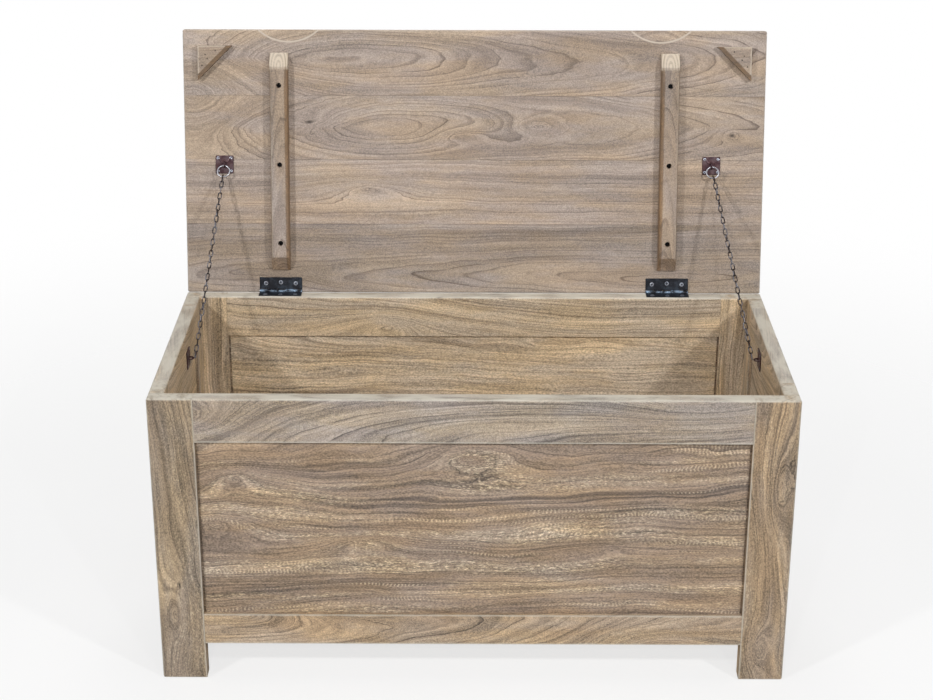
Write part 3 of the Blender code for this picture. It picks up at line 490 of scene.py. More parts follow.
lid_joint = frame["joints"][0]
HINGE_LINE = Vector(lid_joint["pos_m"])
LID_ANGLE = math.radians(lid_joint["range_deg"][1])
LID_OPEN = Matrix.Rotation(-LID_ANGLE, 4, "X")
UNDERSIDE = LID_OPEN.to_3x3() @ DOWN
LID_LOOK = {"Pale": (0.44, 0.362, 0.30), "Middle": (0.38, 0.295, 0.234), "Dark": (0.15, 0.107, 0.08),
            "Gold": (0.47, 0.38, 0.29), "Worn": (0.53, 0.45, 0.37), "Ring Width": 0.0055, "Wander": 0.014,
            "Rings": 0.9, "Lines": 0.5, "Streaks": 0.42, "Flecks": 0.35, "Bloom": 0.5, "Ripples": 0.12,
            "Speckle": 1.65, "Tone": 1.35, "Shortness": 1.6}
REAR_BOARD_LOOK = {**LID_LOOK, "Pale": (0.37, 0.31, 0.262), "Middle": (0.305, 0.242, 0.196)}
LID_BOARDS = {"rear": ((-0.06, -0.03, -0.01), ()),
              "inner": ((0.02, 0.2, -0.05), [knot(-0.18, 0.004, 0.09, 0.022, 0.045, heart=0.05)]),
              "outer": ((0.10, 0.0, -0.018), [knot(-0.485, 0.06, 0.12, 0.11, 0.2),
                                              knot(-0.285, 0.01, 0.08, 0.03, 0.05, heart=0.16),
                                              knot(-0.02, -0.015, 0.06, 0.016, 0.035, heart=0.04),
                                              knot(0.11, 0.003, 0.05, 0.018, 0.035, heart=0.05),
                                              knot(0.445, -0.012, 0.022, 0.012, 0.02, heart=0.42)]),
              "front": ((0.10, 0.004, -0.02), [knot(-0.485, -0.06, 0.12, 0.11, 0.22)])}
SCOOP_WIDTH = 0.103
SCOOP_REACH = 0.0205
SCOOP_END_DISTANCE = 0.181
scoop_radius = (SCOOP_WIDTH ** 2 / 4 + SCOOP_REACH ** 2) / (2 * SCOOP_REACH)
lid_corners = corners_of(*[f"lid_{name}_board" for name in LID_BOARDS])
lid_middle, _, lid_half = board_frame(lid_corners, RIGHT, UNDERSIDE)


def scoop_rim_rub_and_highlight(graph, place, half):
    """The pale line where a finger pull's hollow meets the underside of the board, partly rubbed and partly
    painted highlight on its crease.
    """
    underside = graph.between(graph.axes(place)[2], half.z - 0.002, half.z - 0.0005)
    rims = []
    for _, sign in SIDES:
        middle = (sign * (half.x - SCOOP_END_DISTANCE), half.y + scoop_radius - SCOOP_REACH, 0)
        away = graph.vector("MULTIPLY", graph.vector("SUBTRACT", place, middle), (1, 1, 0))
        off_rim = graph.math("ABSOLUTE", graph.minus(graph.length(away), scoop_radius))
        rims.append(graph.between(off_rim, 0.0022, 0.0005))
    return graph.times(graph.math("MAXIMUM", *rims), underside)


def mesh_object(name, bm):
    """A finished mesh as an object of the scene."""
    mesh = bpy.data.meshes.new(name)
    bm.to_mesh(mesh)
    bm.free()
    item = bpy.data.objects.new(name, mesh)
    bpy.context.scene.collection.objects.link(item)
    return item


def add_piece(name, bm, place, material, body, slot, *nodes, crease=None):
    """A finished mesh as a piece of its own, which stands for the named nodes of the frame.

    With a crease, edges that turn by more than its degrees stay sharp.
    """
    bmesh.ops.recalc_face_normals(bm, faces=bm.faces)
    for face in bm.faces:
        face.smooth = True
    piece = mesh_object(name, bm)
    piece.matrix_world = place
    piece.data.materials.append(material)
    if crease:
        piece.data.set_sharp_from_angle(angle=math.radians(crease))
    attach(piece, body)
    if nodes:
        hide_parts(*nodes)


lid_woods = {}
for number, (name, (heart, knots)) in enumerate(LID_BOARDS.items()):
    seed = Vector((6.1 * number, 29.0, 0.7 * number))
    look = REAR_BOARD_LOOK if name == "rear" else LID_LOOK
    bleach = scoop_rim_rub_and_highlight if name == "front" else None
    lid_woods[name] = dress_board(f"lid_{name}_board", RIGHT, UNDERSIDE, seed, heart, look, knots,
                                  bleach=bleach, outline=(lid_middle, lid_half))

# The front board's hollows are shaded as smooth surfaces
scooped_bm = bmesh.new()
scooped_bm.from_mesh(frame["nodes"]["lid_front_board"].data)
bmesh.ops.remove_doubles(scooped_bm, verts=scooped_bm.verts, dist=1e-6)
add_piece("lid_front_board_smooth", scooped_bm, Matrix(), lid_woods["front"], "lid", "lid_wood",
          "lid_front_board", crease=15)

# Battens
# Two battens with sloped ends stiffen the lid. Their faces are bleached like the lid; the sawn sides are
# brown, partly as unweathered wood and partly as painted shade, with painted shade also on the inner
# arris and the hinge-end slope and painted highlight on the front slope. Each is held by three
# cross-head screws at the bottom of counterbored holes.

# The battens' rubbed colour also paints the highlight on their front slopes.
BATTEN_LOOK = {**LID_LOOK, "Middle": (0.325, 0.252, 0.2), "Ring Width": 0.0035, "Wander": 0.006,
               "Worn": (0.62, 0.53, 0.42)}
# The brown of the batten sides: partly unweathered saw-cut wood, partly painted shade.
SAWN_AND_SHADED_LOOK = {"Pale": (0.27, 0.175, 0.105), "Middle": (0.2, 0.125, 0.07), "Dark": (0.08, 0.05, 0.03),
             "Gold": (0.3, 0.2, 0.12)}
TO_LID_FRONT = LID_OPEN.to_3x3() @ FORWARD
BATTEN_SLOPE = 0.026
BATTEN_LIP = 0.004
BATTEN_ROUND = 0.0045
COUNTERBORE_RADIUS = 0.0045
COUNTERBORE_DEPTH = 0.0095
END_GRAIN_RING = 0.0045


def sawn_sides_and_shade(sign):
    """A mask for a batten's sides, brown partly as unweathered saw-cut wood and partly as painted shade,
    with painted shade on its arris towards the lid's middle and, faintly, on its hinge-end slope.
    """

    def mask(graph, place, half):
        x, y, z = graph.axes(place)
        below_face = graph.between(z, half.z - 0.001, half.z - 0.0025)
        side = graph.between(graph.math("ABSOLUTE", y), half.y - 0.0012, half.y - 0.0004)
        # Painted shade, at half strength, on the slope at the hinge end.
        hinge_end_shade = graph.times(graph.between(x, 0.01, -0.01), 0.5)
        sawn_and_shaded = graph.times(below_face, graph.math("MAXIMUM", side, hinge_end_shade))
        ragged = graph.times(graph.noise(place, (25, 60, 60), 3), 0.004)
        # Painted shade on the rounded arris towards the lid's middle.
        inner_arris_shade = graph.between(graph.line(y, sign, ragged), half.y - 0.005, half.y - 0.0025)
        return graph.math("MAXIMUM", sawn_and_shaded, inner_arris_shade)

    return mask


def front_slope_highlight(graph, place, half):
    """The slope at the lid's front edge, pale as painted highlight where it faces up to the light, with the
    rings of its end grain in nested arcs.
    """
    x, y, z = graph.axes(place)
    below_face = graph.between(z, half.z - 0.0005, half.z - 0.002)
    slope_start = half.x - BATTEN_SLOPE
    slope = graph.times(below_face, graph.between(x, slope_start - 0.004, slope_start))
    flattened = graph.vector("MULTIPLY", place, (0, 1, 0.8))
    distance = graph.length(graph.vector("SUBTRACT", flattened, (0, 0, half.z * 0.6)))
    wave = graph.math("SINE", graph.times(distance, 2 * math.pi / END_GRAIN_RING))
    return graph.times(slope, graph.line(graph.between(wave, -0.6, 0.5), 0.4, 0.5))


def steps(low, high, step):
    count = math.ceil((high - low) / step)
    return [low + (high - low) * i / count for i in range(count + 1)]


def fine_ends(reach, start, fine, coarse):
    """Stations from -reach to reach, fine beyond start at both ends and coarse between."""
    return steps(-reach, -start, fine) + steps(-start, start, coarse)[1:-1] + steps(start, reach, fine)


def add_slab(bm, top, bottom):
    """Faces round the solid between two grids of points; a grid is a list of columns."""
    columns, rows = len(top) - 1, len(top[0]) - 1
    for i in range(columns):
        for j in range(rows):
            corners = ((i, j), (i + 1, j), (i + 1, j + 1), (i, j + 1))
            bm.faces.new([top[a][b] for a, b in corners])
            bm.faces.new([bottom[a][b] for a, b in reversed(corners)])
    rim = [(i, 0) for i in range(columns)] + [(columns, j) for j in range(rows)]
    rim += [(i, rows) for i in range(columns, 0, -1)] + [(0, j) for j in range(rows, 0, -1)]
    for (a, b), (c, d) in zip(rim, rim[1:] + rim[:1]):
        bm.faces.new((top[a][b], bottom[a][b], bottom[c][d], top[c][d]))


def batten_mesh(half):
    """A bar with rounded arrises whose two ends are cut to a slope; its own axes, as in board_frame."""

    def height(x, y):
        rounding = max(abs(y) - half.y + BATTEN_ROUND, 0)
        bar = half.z - BATTEN_ROUND + math.sqrt(max(BATTEN_ROUND ** 2 - rounding ** 2, 0))
        rise = (2 * half.z - BATTEN_LIP) / BATTEN_SLOPE
        return min(bar, BATTEN_LIP - half.z + rise * (half.x - abs(x)))

    lengths = fine_ends(half.x, half.x - BATTEN_SLOPE * 0.9, 0.0004, 0.02)
    widths = fine_ends(half.y, half.y - BATTEN_ROUND, 0.0003, 0.004)
    bm = bmesh.new()
    top = [[bm.verts.new((x, y, height(x, y))) for y in widths] for x in lengths]
    bottom = [[bm.verts.new((x, y, -half.z)) for y in widths] for x in lengths]
    add_slab(bm, top, bottom)
    bmesh.ops.recalc_face_normals(bm, faces=bm.faces)
    return bm


def bored(bm, places, half, radius, depth, sides=40):
    """The mesh with flat-bottomed holes sunk into its face at those places."""
    drills_bm = bmesh.new()
    for x, y in places:
        bmesh.ops.create_cone(drills_bm, cap_ends=True, segments=sides, radius1=radius, radius2=radius,
                              depth=2 * depth, matrix=Matrix.Translation((x, y, half.z)))
    blank = mesh_object("blank", bm)
    drills = mesh_object("drills", drills_bm)
    cut = blank.modifiers.new("bore", "BOOLEAN")
    cut.object = drills
    cut.solver = "EXACT"
    bored_bm = bmesh.new()
    bored_bm.from_object(blank, bpy.context.evaluated_depsgraph_get())
    for spare in (blank, drills):
        bpy.data.objects.remove(spare)
    return bored_bm


def make_rubbed_iron():
    """Painted or browned iron: mottled, dull where it rusted, brighter where it was handled; on the chain
    and the hinge knuckles the brighter patches are also painted glints and highlight.
    """
    inputs = {"Place": "Vector", "Rust Share": "Float", "Wear": "Float"}
    inputs.update({name: "Color" for name in ("Coat", "Rust", "Bare")})
    outputs = {"Color": "Color", "Roughness": "Float", "Height": "Float"}
    graph, given, result = start_group("rubbed_iron", inputs, outputs)
    mottle, grit, handled = [graph.noise(given["Place"], (scale, scale, scale), detail)
                             for scale, detail in ((160, 4), (900, 3), (75, 3))]
    rust = graph.times(graph.between(mottle, 0.4, 0.62), given["Rust Share"])
    # Rubbed steel where handled; on the chain and the knuckles it is also painted glints and highlight.
    bare = graph.between(graph.plus(handled, graph.times(grit, 0.35)), 0.62, 0.8)
    bare = graph.times(bare, given["Wear"])
    shade = graph.mix(rust, given["Coat"], given["Rust"])
    graph.set(result["Color"], graph.mix(bare, shade, given["Bare"]))
    dull = graph.plus(graph.times(rust, 0.3), graph.times(grit, 0.2), 0.24)
    graph.set(result["Roughness"], graph.minus(dull, graph.times(bare, 0.1)))
    graph.set(result["Height"], graph.plus(grit, graph.times(mottle, 0.6)))
    return graph.tree


RUBBED_IRON = make_rubbed_iron()


def iron_material(name, coat, rust, bare, rust_share, rub_and_glint, metallic, gloss=0.5):
    """Iron of those colours; the share of rubbed steel is a number, or a function of graph and place that
    gives a mask; on the chain and the hinge knuckles the rubbed steel is also painted glints and highlight.
    """
    material, graph, shader = start_material(name)
    place = graph.place()
    wear_and_highlight = rub_and_glint(graph, place) if callable(rub_and_glint) else rub_and_glint
    iron = graph.add("Group", {"Place": place, "Coat": coat, "Rust": rust, "Bare": bare,
                               "Rust Share": rust_share, "Wear": wear_and_highlight}, node_tree=RUBBED_IRON)
    feed_shader(graph, shader, iron, strength=0.3, depth=0.0002)
    shader.inputs["Metallic"].default_value = metallic
    shader.inputs["Specular IOR Level"].default_value = gloss
    return material


def skin_rows(bm, rows):
    """Faces between neighbouring rings of points."""
    for first, second in zip(rows, rows[1:]):
        for i in range(len(first)):
            following = (i + 1) % len(first)
            bm.faces.new((first[i], second[i], second[following], first[following]))


def close_head(bm, rows):
    """Skins a head's rings, closes the last with a face and joins the first into one point."""
    skin_rows(bm, rows)
    bm.faces.new(rows[-1])
    bmesh.ops.remove_doubles(bm, verts=rows[0], dist=1e-7)


def add_screw_head(bm, x, y, z, radius, dome, turn, facing, rings=22, spokes=48):
    """A screw head with a cross recess, its rim at height z; facing -1 looks down."""
    arm = radius * 0.16
    reach = radius * 0.62
    rows = []
    for ring in range(rings + 1):
        distance = radius * ring / rings
        row = []
        for spoke in range(spokes):
            angle = 2 * math.pi * spoke / spokes
            along, across = distance * math.cos(angle), distance * math.sin(angle)
            crossed = any(abs(a) < arm and abs(b) < reach for a, b in ((along, across), (across, along)))
            height = dome * (1 - (distance / radius) ** 2)
            if ring == rings:
                height = -0.4 * radius
            if crossed:
                height -= radius * 0.28 * (1 - distance / reach * 0.6)
            row.append(bm.verts.new((x + distance * math.cos(angle + turn),
                                     y + distance * math.sin(angle + turn), z + facing * height)))
        rows.append(row)
    close_head(bm, rows)


def screw_heads(places, z, radius, dome, turn, turn_step=0.0, facing=1):
    """Screw heads at those places, each turned a step further than the one before."""
    bm = bmesh.new()
    for number, (x, y) in enumerate(places):
        add_screw_head(bm, x, y, z, radius, dome, turn + turn_step * number, facing)
    return bm


def placement(centre, turn):
    return Matrix.Translation(centre) @ turn.to_4x4()


SUNK_STEEL = iron_material("sunk_steel", (0.004, 0.004, 0.005), (0.012, 0.009, 0.007), (0.03, 0.03, 0.034),
                           rust_share=0.5, rub_and_glint=0.3, metallic=0.0, gloss=0.06)
SUNK_SCREW_HEAD = 0.0037
SUNK_SCREW_DOME = 0.0003
for side, sign in SIDES:
    batten = side + "_lid_batten"
    wood = dress_board(batten, TO_LID_FRONT, UNDERSIDE, Vector((3.0 * sign, 37.0, 0.0)),
                       (0.05, 0.006 * sign, -0.03), BATTEN_LOOK, other=(SAWN_AND_SHADED_LOOK, sawn_sides_and_shade(sign)),
                       bleach=front_slope_highlight)
    middle, turn, half = board_frame(corners_of(batten), TO_LID_FRONT, UNDERSIDE)
    screw_places = []
    for number, place in enumerate(("rear", "middle", "front")):
        screw = f"{side}_batten_{place}_screw"
        paint_node(screw, SUNK_STEEL)
        centre, turn, screw_half = board_frame(corners_of(screw), TO_LID_FRONT, UNDERSIDE)
        screw_places.append((turn.transposed() @ (centre - middle)).to_2d())
        head_bm = screw_heads([(0, 0)], screw_half.z, SUNK_SCREW_HEAD, SUNK_SCREW_DOME, 0.9 * number + sign)
        add_piece(screw + "_head", head_bm, placement(centre, turn), SUNK_STEEL, "lid", "screw_steel")
    batten_bm = bored(batten_mesh(half), screw_places, half, COUNTERBORE_RADIUS, COUNTERBORE_DEPTH)
    bmesh.ops.transform(batten_bm, matrix=placement(middle, turn), verts=batten_bm.verts)
    add_piece(batten + "_rounded", batten_bm, Matrix(), wood, "lid", "lid_wood", batten, crease=22)

# Corner blocks
# A small triangular block is nailed under each front corner of the lid to centre it on the chest.
# Its face is bleached; its sides and a ragged strip along its long side are dark brown as painted
# shade, the sides partly also as saw-cut wood; four brads, punched below the face, hold it.

BLOCK_BRADS = ((0.52, 0.14), (0.22, 0.26), (0.28, 0.38), (0.12, 0.58))
# Dark brown of painted shade on the block's sides and along its long side.
BLOCK_SIDE_AND_SHADE_LOOK = {"Pale": (0.2, 0.125, 0.07), "Middle": (0.14, 0.085, 0.045), "Dark": (0.06, 0.038, 0.023),
                   "Gold": (0.22, 0.145, 0.085)}
BRAD_HEAD = 0.0012
BRAD_SUNK = 0.0006
BRAD_PROFILE = ((0.0, -0.25), (0.3, -0.2), (0.45, 0.0), (0.8, -0.05), (1.0, -0.3), (1.0, -0.8))


def block_side_shade(sign):
    """A mask of painted shade on a block's sides, partly also saw-cut wood, and on a ragged strip along its
    long side.
    """

    def mask(graph, place, half):
        x, y, z = graph.axes(place)
        from_long_side = graph.times(graph.line(x, sign, y), math.sqrt(0.5))
        ragged = graph.times(graph.noise(place, (70, 70, 70), 3), 0.003)
        # The strip along the long side is painted shade.
        shade_band = graph.between(graph.plus(from_long_side, ragged), 0.009, 0.0075)
        return graph.math("MAXIMUM", shade_band, graph.between(z, half.z - 0.0006, half.z - 0.002))

    return mask


def circle(sides):
    return [(math.cos(2 * math.pi * i / sides), math.sin(2 * math.pi * i / sides)) for i in range(sides)]


def add_brad_head(bm, x, y, z, radius):
    """A brad's small head with the dimple that the punch left in it."""
    rows = []
    for reach, height in BRAD_PROFILE:
        rows.append([bm.verts.new((x + radius * reach * c, y + radius * reach * s, z + radius * height))
                     for c, s in circle(16)])
    close_head(bm, rows)


for side, sign in SIDES:
    block = side + "_lid_corner_block"
    dress_board(block, RIGHT, UNDERSIDE, Vector((2.0 * sign, 41.0, 0.0)), (0.05, 0.05, -0.04), BATTEN_LOOK,
                other=(BLOCK_SIDE_AND_SHADE_LOOK, block_side_shade(sign)))
    centre, turn, half = board_frame(corners_of(block), RIGHT, UNDERSIDE)
    brads_bm = bmesh.new()
    for across, back in BLOCK_BRADS:
        add_brad_head(brads_bm, sign * half.x * (1 - 2 * across), half.y * (1 - 2 * back),
                      half.z - BRAD_SUNK, BRAD_HEAD)
    add_piece(block + "_brads", brads_bm, placement(centre, turn), SUNK_STEEL, "lid", "screw_steel")

# Hinges
# Two 75 mm butt hinges of black japanned steel, let in flush. Each leaf is a pressed plate with
# rolled knuckles and three cross-head screws; the pin is riveted in the frame leaf's knuckles.

HINGE_LENGTH = 0.074
LEAF_WIDTH = 0.024
LEAF_THICKNESS = 0.0018
LEAF_CORNER = 0.0012
LEAF_CLEAR = 0.0003
SHEET_EASE = 0.0006
BARREL_RADIUS = 0.003
# How strongly the knuckles show rubbed steel and painted bluish highlight.
BARREL_RUB_AND_HIGHLIGHT = 0.9
KNUCKLES = 5
KNUCKLE_GAP = 0.0004
KNUCKLE_EASE = 0.0004
HINGE_SCREW_SPACING = 0.026
HINGE_SCREW_HEAD = 0.0037
HINGE_SCREW_DOME = 0.0002
leaf_middle = -(LEAF_WIDTH + BARREL_RADIUS) / 2
hinge_screws = [(step * HINGE_SCREW_SPACING, leaf_middle - (0 if step else LEAF_THICKNESS))
                for step in (-1, 0, 1)]


def barrel_rub_and_highlight(graph, place):
    """The knuckles are rubbed by the turning of the lid, and a bluish strip along them is painted highlight.
    """
    distance = graph.length(graph.vector("MULTIPLY", place, (0, 1, 1)))
    barrel = graph.between(distance, BARREL_RADIUS + 0.0008, BARREL_RADIUS + 0.0002)
    return graph.line(barrel, BARREL_RUB_AND_HIGHLIGHT, 0.08)


SCREW_STEEL = iron_material("screw_steel", (0.2, 0.22, 0.26), (0.1, 0.08, 0.075), (0.5, 0.53, 0.6),
                            rust_share=0.5, rub_and_glint=0.6, metallic=0.9)
# Its bluish rubbed colour, shown along the knuckles, is painted highlight.
JAPANNED_STEEL = iron_material("japanned_steel", (0.008, 0.009, 0.013), (0.016, 0.015, 0.018),
                               (0.2, 0.27, 0.36), rust_share=0.3, rub_and_glint=barrel_rub_and_highlight, metallic=0.3,
                               gloss=0.22)


def add_sheet(bm, low, high, base, thickness, corner, relief, step=0.0005):
    """A plate pressed from sheet: rounded corners, eased edges, and relief(x, y) as its surface."""
    columns = math.ceil((high[0] - low[0]) / step)
    rows = math.ceil((high[1] - low[1]) / step)
    middle = ((low[0] + high[0]) / 2, (low[1] + high[1]) / 2)
    half = ((high[0] - low[0]) / 2, (high[1] - low[1]) / 2)
    top, bottom = [], []
    for column in range(columns + 1):
        top.append([])
        bottom.append([])
        for row in range(rows + 1):
            x = (2 * column / columns - 1) * half[0]
            y = (2 * row / rows - 1) * half[1]
            dx = max(abs(x) - half[0] + corner, 0)
            dy = max(abs(y) - half[1] + corner, 0)
            longest = max(dx, dy)
            if dx > 0 and dy > 0:
                shrink = longest / math.hypot(dx, dy)
                x = math.copysign(half[0] - corner + dx * shrink, x)
                y = math.copysign(half[1] - corner + dy * shrink, y)
            edge = corner - longest
            drop = SHEET_EASE - math.sqrt(max(SHEET_EASE ** 2 - max(SHEET_EASE - edge, 0) ** 2, 0))
            x, y = x + middle[0], y + middle[1]
            top[-1].append(bm.verts.new((x, y, base + thickness - drop + relief(x, y))))
            bottom[-1].append(bm.verts.new((x, y, base)))
    add_slab(bm, top, bottom)


def add_knuckle(bm, start, end, radius):
    """A rolled knuckle along x about the hinge line, its ends eased."""
    easing = [(inset * KNUCKLE_EASE, radius - drop * KNUCKLE_EASE)
              for inset, drop in ((0, 1), (0.3, 0.3), (1, 0))]
    stations = [(start + inset, reach) for inset, reach in easing]
    stations += [(end - inset, reach) for inset, reach in reversed(easing)]
    rows = [[bm.verts.new((x, reach * c, reach * s)) for c, s in circle(32)] for x, reach in stations]
    skin_rows(bm, rows)
    bm.faces.new(rows[0])
    bm.faces.new(rows[-1])


def countersinks(x, y):
    """The leaf dips a little round each screw head."""
    nearest = min(math.hypot(x - sx, y - sy) for sx, sy in hinge_screws)
    return -0.0005 * max(0, 1 - abs(nearest - HINGE_SCREW_HEAD) / 0.0006)


def hinge_leaf(upper):
    """A leaf round the hinge line as when shut, pointing to the front; the lid's leaf is the upper."""
    bm = bmesh.new()
    clear = BARREL_RADIUS + KNUCKLE_GAP
    half = HINGE_LENGTH / 2
    add_sheet(bm, (-half, -LEAF_WIDTH), (half, -clear), 0, LEAF_THICKNESS, LEAF_CORNER, countersinks)
    share = HINGE_LENGTH / KNUCKLES
    length = share - KNUCKLE_GAP
    starts = [-half + index * share + KNUCKLE_GAP / 2 for index in range(1 if upper else 0, KNUCKLES, 2)]
    for start in starts:
        add_sheet(bm, (start, -clear - LEAF_THICKNESS), (start + length, -BARREL_RADIUS * 0.3), 0,
                  LEAF_THICKNESS * 0.98, KNUCKLE_EASE, lambda x, y: 0.0)
    flip = -1 if upper else 1
    for vert in bm.verts:
        vert.co.z = flip * (vert.co.z - LEAF_THICKNESS - LEAF_CLEAR)
    for start in starts:
        add_knuckle(bm, start, start + length, BARREL_RADIUS)
    return bm


for side, _ in SIDES:
    pin = side + "_hinge_pin"
    low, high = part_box(pin)
    frame_place = Matrix.Translation(((low.x + high.x) / 2, HINGE_LINE.y, HINGE_LINE.z))
    for leaf_name, body, place, facing in (("lid", "lid", frame_place @ LID_OPEN, -1),
                                           ("frame", "carcass", frame_place, 1)):
        leaf = f"{side}_hinge_{leaf_name}_leaf"
        add_piece(leaf + "_pressed", hinge_leaf(facing < 0), place, JAPANNED_STEEL, body, "black_iron", leaf)
        screws_bm = screw_heads(hinge_screws, -facing * LEAF_CLEAR, HINGE_SCREW_HEAD, HINGE_SCREW_DOME,
                                turn=0.4, turn_step=1.1, facing=facing)
        add_piece(leaf + "_screws", screws_bm, place, SCREW_STEEL, body, "screw_steel")
    paint_node(pin, JAPANNED_STEEL)

# Chain plates and staples
# Square plates of browned iron with two pressed ridges, one under the lid and one inside the end
# rail on each side, held by four domed screws. A wire staple through each plate carries the chain.

BROWNED_IRON = iron_material("browned_iron", (0.045, 0.02, 0.025), (0.08, 0.036, 0.034), (0.24, 0.2, 0.22),
                             rust_share=0.6, rub_and_glint=0.2, metallic=0.3, gloss=0.22)
PLATE_SIZE = 0.031
PLATE_THICKNESS = 0.0016
PLATE_CORNER = 0.002
PLATE_CLEAR = 0.0003
PLATE_SCREW_HEAD = 0.0026
PLATE_SCREW_DOME = 0.0006
PLATE_SCREW_INSET = 0.0042
RIDGE_HEIGHT = 0.0005
RIDGE_REACH = 0.0185
STAPLE_WIRE = 0.0026
STAPLE_BEND = 0.005
STAPLE_RISE = 0.0025
STAPLE_LEG = 0.010
plate_half = PLATE_SIZE / 2
plate_top = PLATE_CLEAR + PLATE_THICKNESS
screw_reach = plate_half - PLATE_SCREW_INSET
plate_screws = [(x, y) for x in (-screw_reach, screw_reach) for y in (-screw_reach, screw_reach)]


def pressed_ridges(x, y):
    """Two low ridges from the middle of the plate to its upper corners."""
    if y < 0:
        return 0.0
    off_line = abs(abs(x) - y) / math.sqrt(2)
    distance = math.hypot(x, y)
    fade = min(1.0, distance / 0.004) * max(0.0, min(1.0, (RIDGE_REACH - distance) / 0.003))
    return RIDGE_HEIGHT * fade * max(0.0, 1 - off_line / 0.0016)


def chain_plate():
    bm = bmesh.new()
    add_sheet(bm, (-plate_half, -plate_half), (plate_half, plate_half), PLATE_CLEAR, PLATE_THICKNESS,
              PLATE_CORNER, pressed_ridges)
    return bm


def add_wire(bm, points, normal, radius, closed):
    """A round wire along a flat path whose plane has that normal."""
    count = len(points)
    rows = []
    for index, point in enumerate(points):
        before = points[index - 1] if closed or index else point
        after = points[(index + 1) % count] if closed or index < count - 1 else point
        outward = (after - before).normalized().cross(normal)
        rows.append([bm.verts.new(point + radius * (c * normal + s * outward)) for c, s in circle(12)])
    if closed:
        skin_rows(bm, rows + rows[:1])
    else:
        skin_rows(bm, rows)
        bm.faces.new(rows[0])
        bm.faces.new(rows[-1])


def chain_staple():
    bm = bmesh.new()
    rise = plate_top + STAPLE_RISE
    arc = [math.pi * i / 16 for i in range(17)]
    bend = [Vector((0, STAPLE_BEND * math.cos(a), rise + STAPLE_BEND * math.sin(a))) for a in arc]
    path = [Vector((0, STAPLE_BEND, -STAPLE_LEG))] + bend + [Vector((0, -STAPLE_BEND, -STAPLE_LEG))]
    add_wire(bm, path, RIGHT, STAPLE_WIRE / 2, False)
    return bm


def plate_place(node, face, upward):
    """Where a chain plate lies: on the wood, facing out of it, its ridges running up."""
    centre, _, half = board_frame(corners_of(node), upward, face)
    seat = centre + face * (half.z - plate_top - PLATE_SCREW_DOME)
    return placement(seat, Matrix((upward.cross(face), upward, face)).transposed())


for side, _ in SIDES:
    for group, body, face, upward in (("lid", "lid", UNDERSIDE, TO_LID_FRONT),
                                      ("side", "carcass", -FACING[side], BACKWARD)):
        plate = f"{side}_{group}_chain_plate"
        staple = f"{side}_{group}_chain_staple"
        place = plate_place(plate, face, upward)
        screws_bm = screw_heads(plate_screws, plate_top, PLATE_SCREW_HEAD, PLATE_SCREW_DOME,
                                turn=0.0, turn_step=0.7)
        add_piece(plate + "_pressed", chain_plate(), place, BROWNED_IRON, body, "brown_iron", plate)
        add_piece(plate + "_screws", screws_bm, place, SCREW_STEEL, body, "screw_steel")
        add_piece(staple + "_wire", chain_staple(), place, BROWNED_IRON, body, "brown_iron", staple)

# Chains
# A round ring turns in each lid staple, and straight oval links of browned steel wire run from it
# to the staple in the end rail, every other link on edge. The links hang a little crooked.

# The pale bluish patches on the dark links are rubbed steel and also painted glints.
CHAIN_STEEL = iron_material("chain_steel", (0.02, 0.015, 0.014), (0.06, 0.034, 0.024), (0.36, 0.36, 0.40),
                            rust_share=0.5, rub_and_glint=0.5, metallic=0.5, gloss=0.25)
RING_STEEL = iron_material("ring_steel", (0.32, 0.32, 0.35), (0.16, 0.11, 0.09), (0.62, 0.64, 0.68),
                           rust_share=0.35, rub_and_glint=0.8, metallic=0.9)
RING_RADIUS = 0.0105
RING_WIRE = 0.0025
LINK_WIRE = 0.0019
LINK_WIDTH = 0.0075
LINK_PITCH = 0.0108
LINK_BITE = 0.0004
CROOKED = math.radians(9)
RUN_STARTS_LEVEL = {"upper": 0, "fold": 0, "lower": 1}


def add_link(bm, start, inside_length, turn):
    """One link along +Z, its inside starting at that height; turn swings it about the chain."""
    bend = (LINK_WIDTH - LINK_WIRE) / 2
    first = start + bend - LINK_WIRE / 2
    last = start + inside_length - bend + LINK_WIRE / 2
    across = Vector((math.cos(turn), math.sin(turn), 0))
    arc = [math.pi * i / 10 for i in range(11)]
    path = [across * (bend * math.cos(a)) + UP * (last + bend * math.sin(a)) for a in arc]
    path += [across * (-bend * math.cos(a)) + UP * (first - bend * math.sin(a)) for a in arc]
    add_wire(bm, path, across.cross(UP), LINK_WIRE / 2, True)


def link_run(place, node, first_level):
    """The links of a run, spread over the length that the frame gives it."""
    to_chain = place.inverted()
    heights = [(to_chain @ corner).z for corner in corners_of(node)]
    length = max(heights) - min(heights) - 2 * LINK_WIRE + LINK_BITE
    count = round(length / LINK_PITCH)
    pitch = length / count
    bm = bmesh.new()
    for index in range(count):
        level = (index + first_level) % 2
        sway = CROOKED * math.sin(2.4 * index + first_level)
        turn = sway if level else math.pi / 2 + sway
        add_link(bm, min(heights) + LINK_WIRE + index * pitch, pitch - LINK_BITE, turn)
    return bm


def ring_mesh():
    bm = bmesh.new()
    path = [Vector((RING_RADIUS * s, 0, RING_RADIUS * (1 - c))) for c, s in circle(48)]
    add_wire(bm, path, BACKWARD, RING_WIRE / 2, True)
    return bm


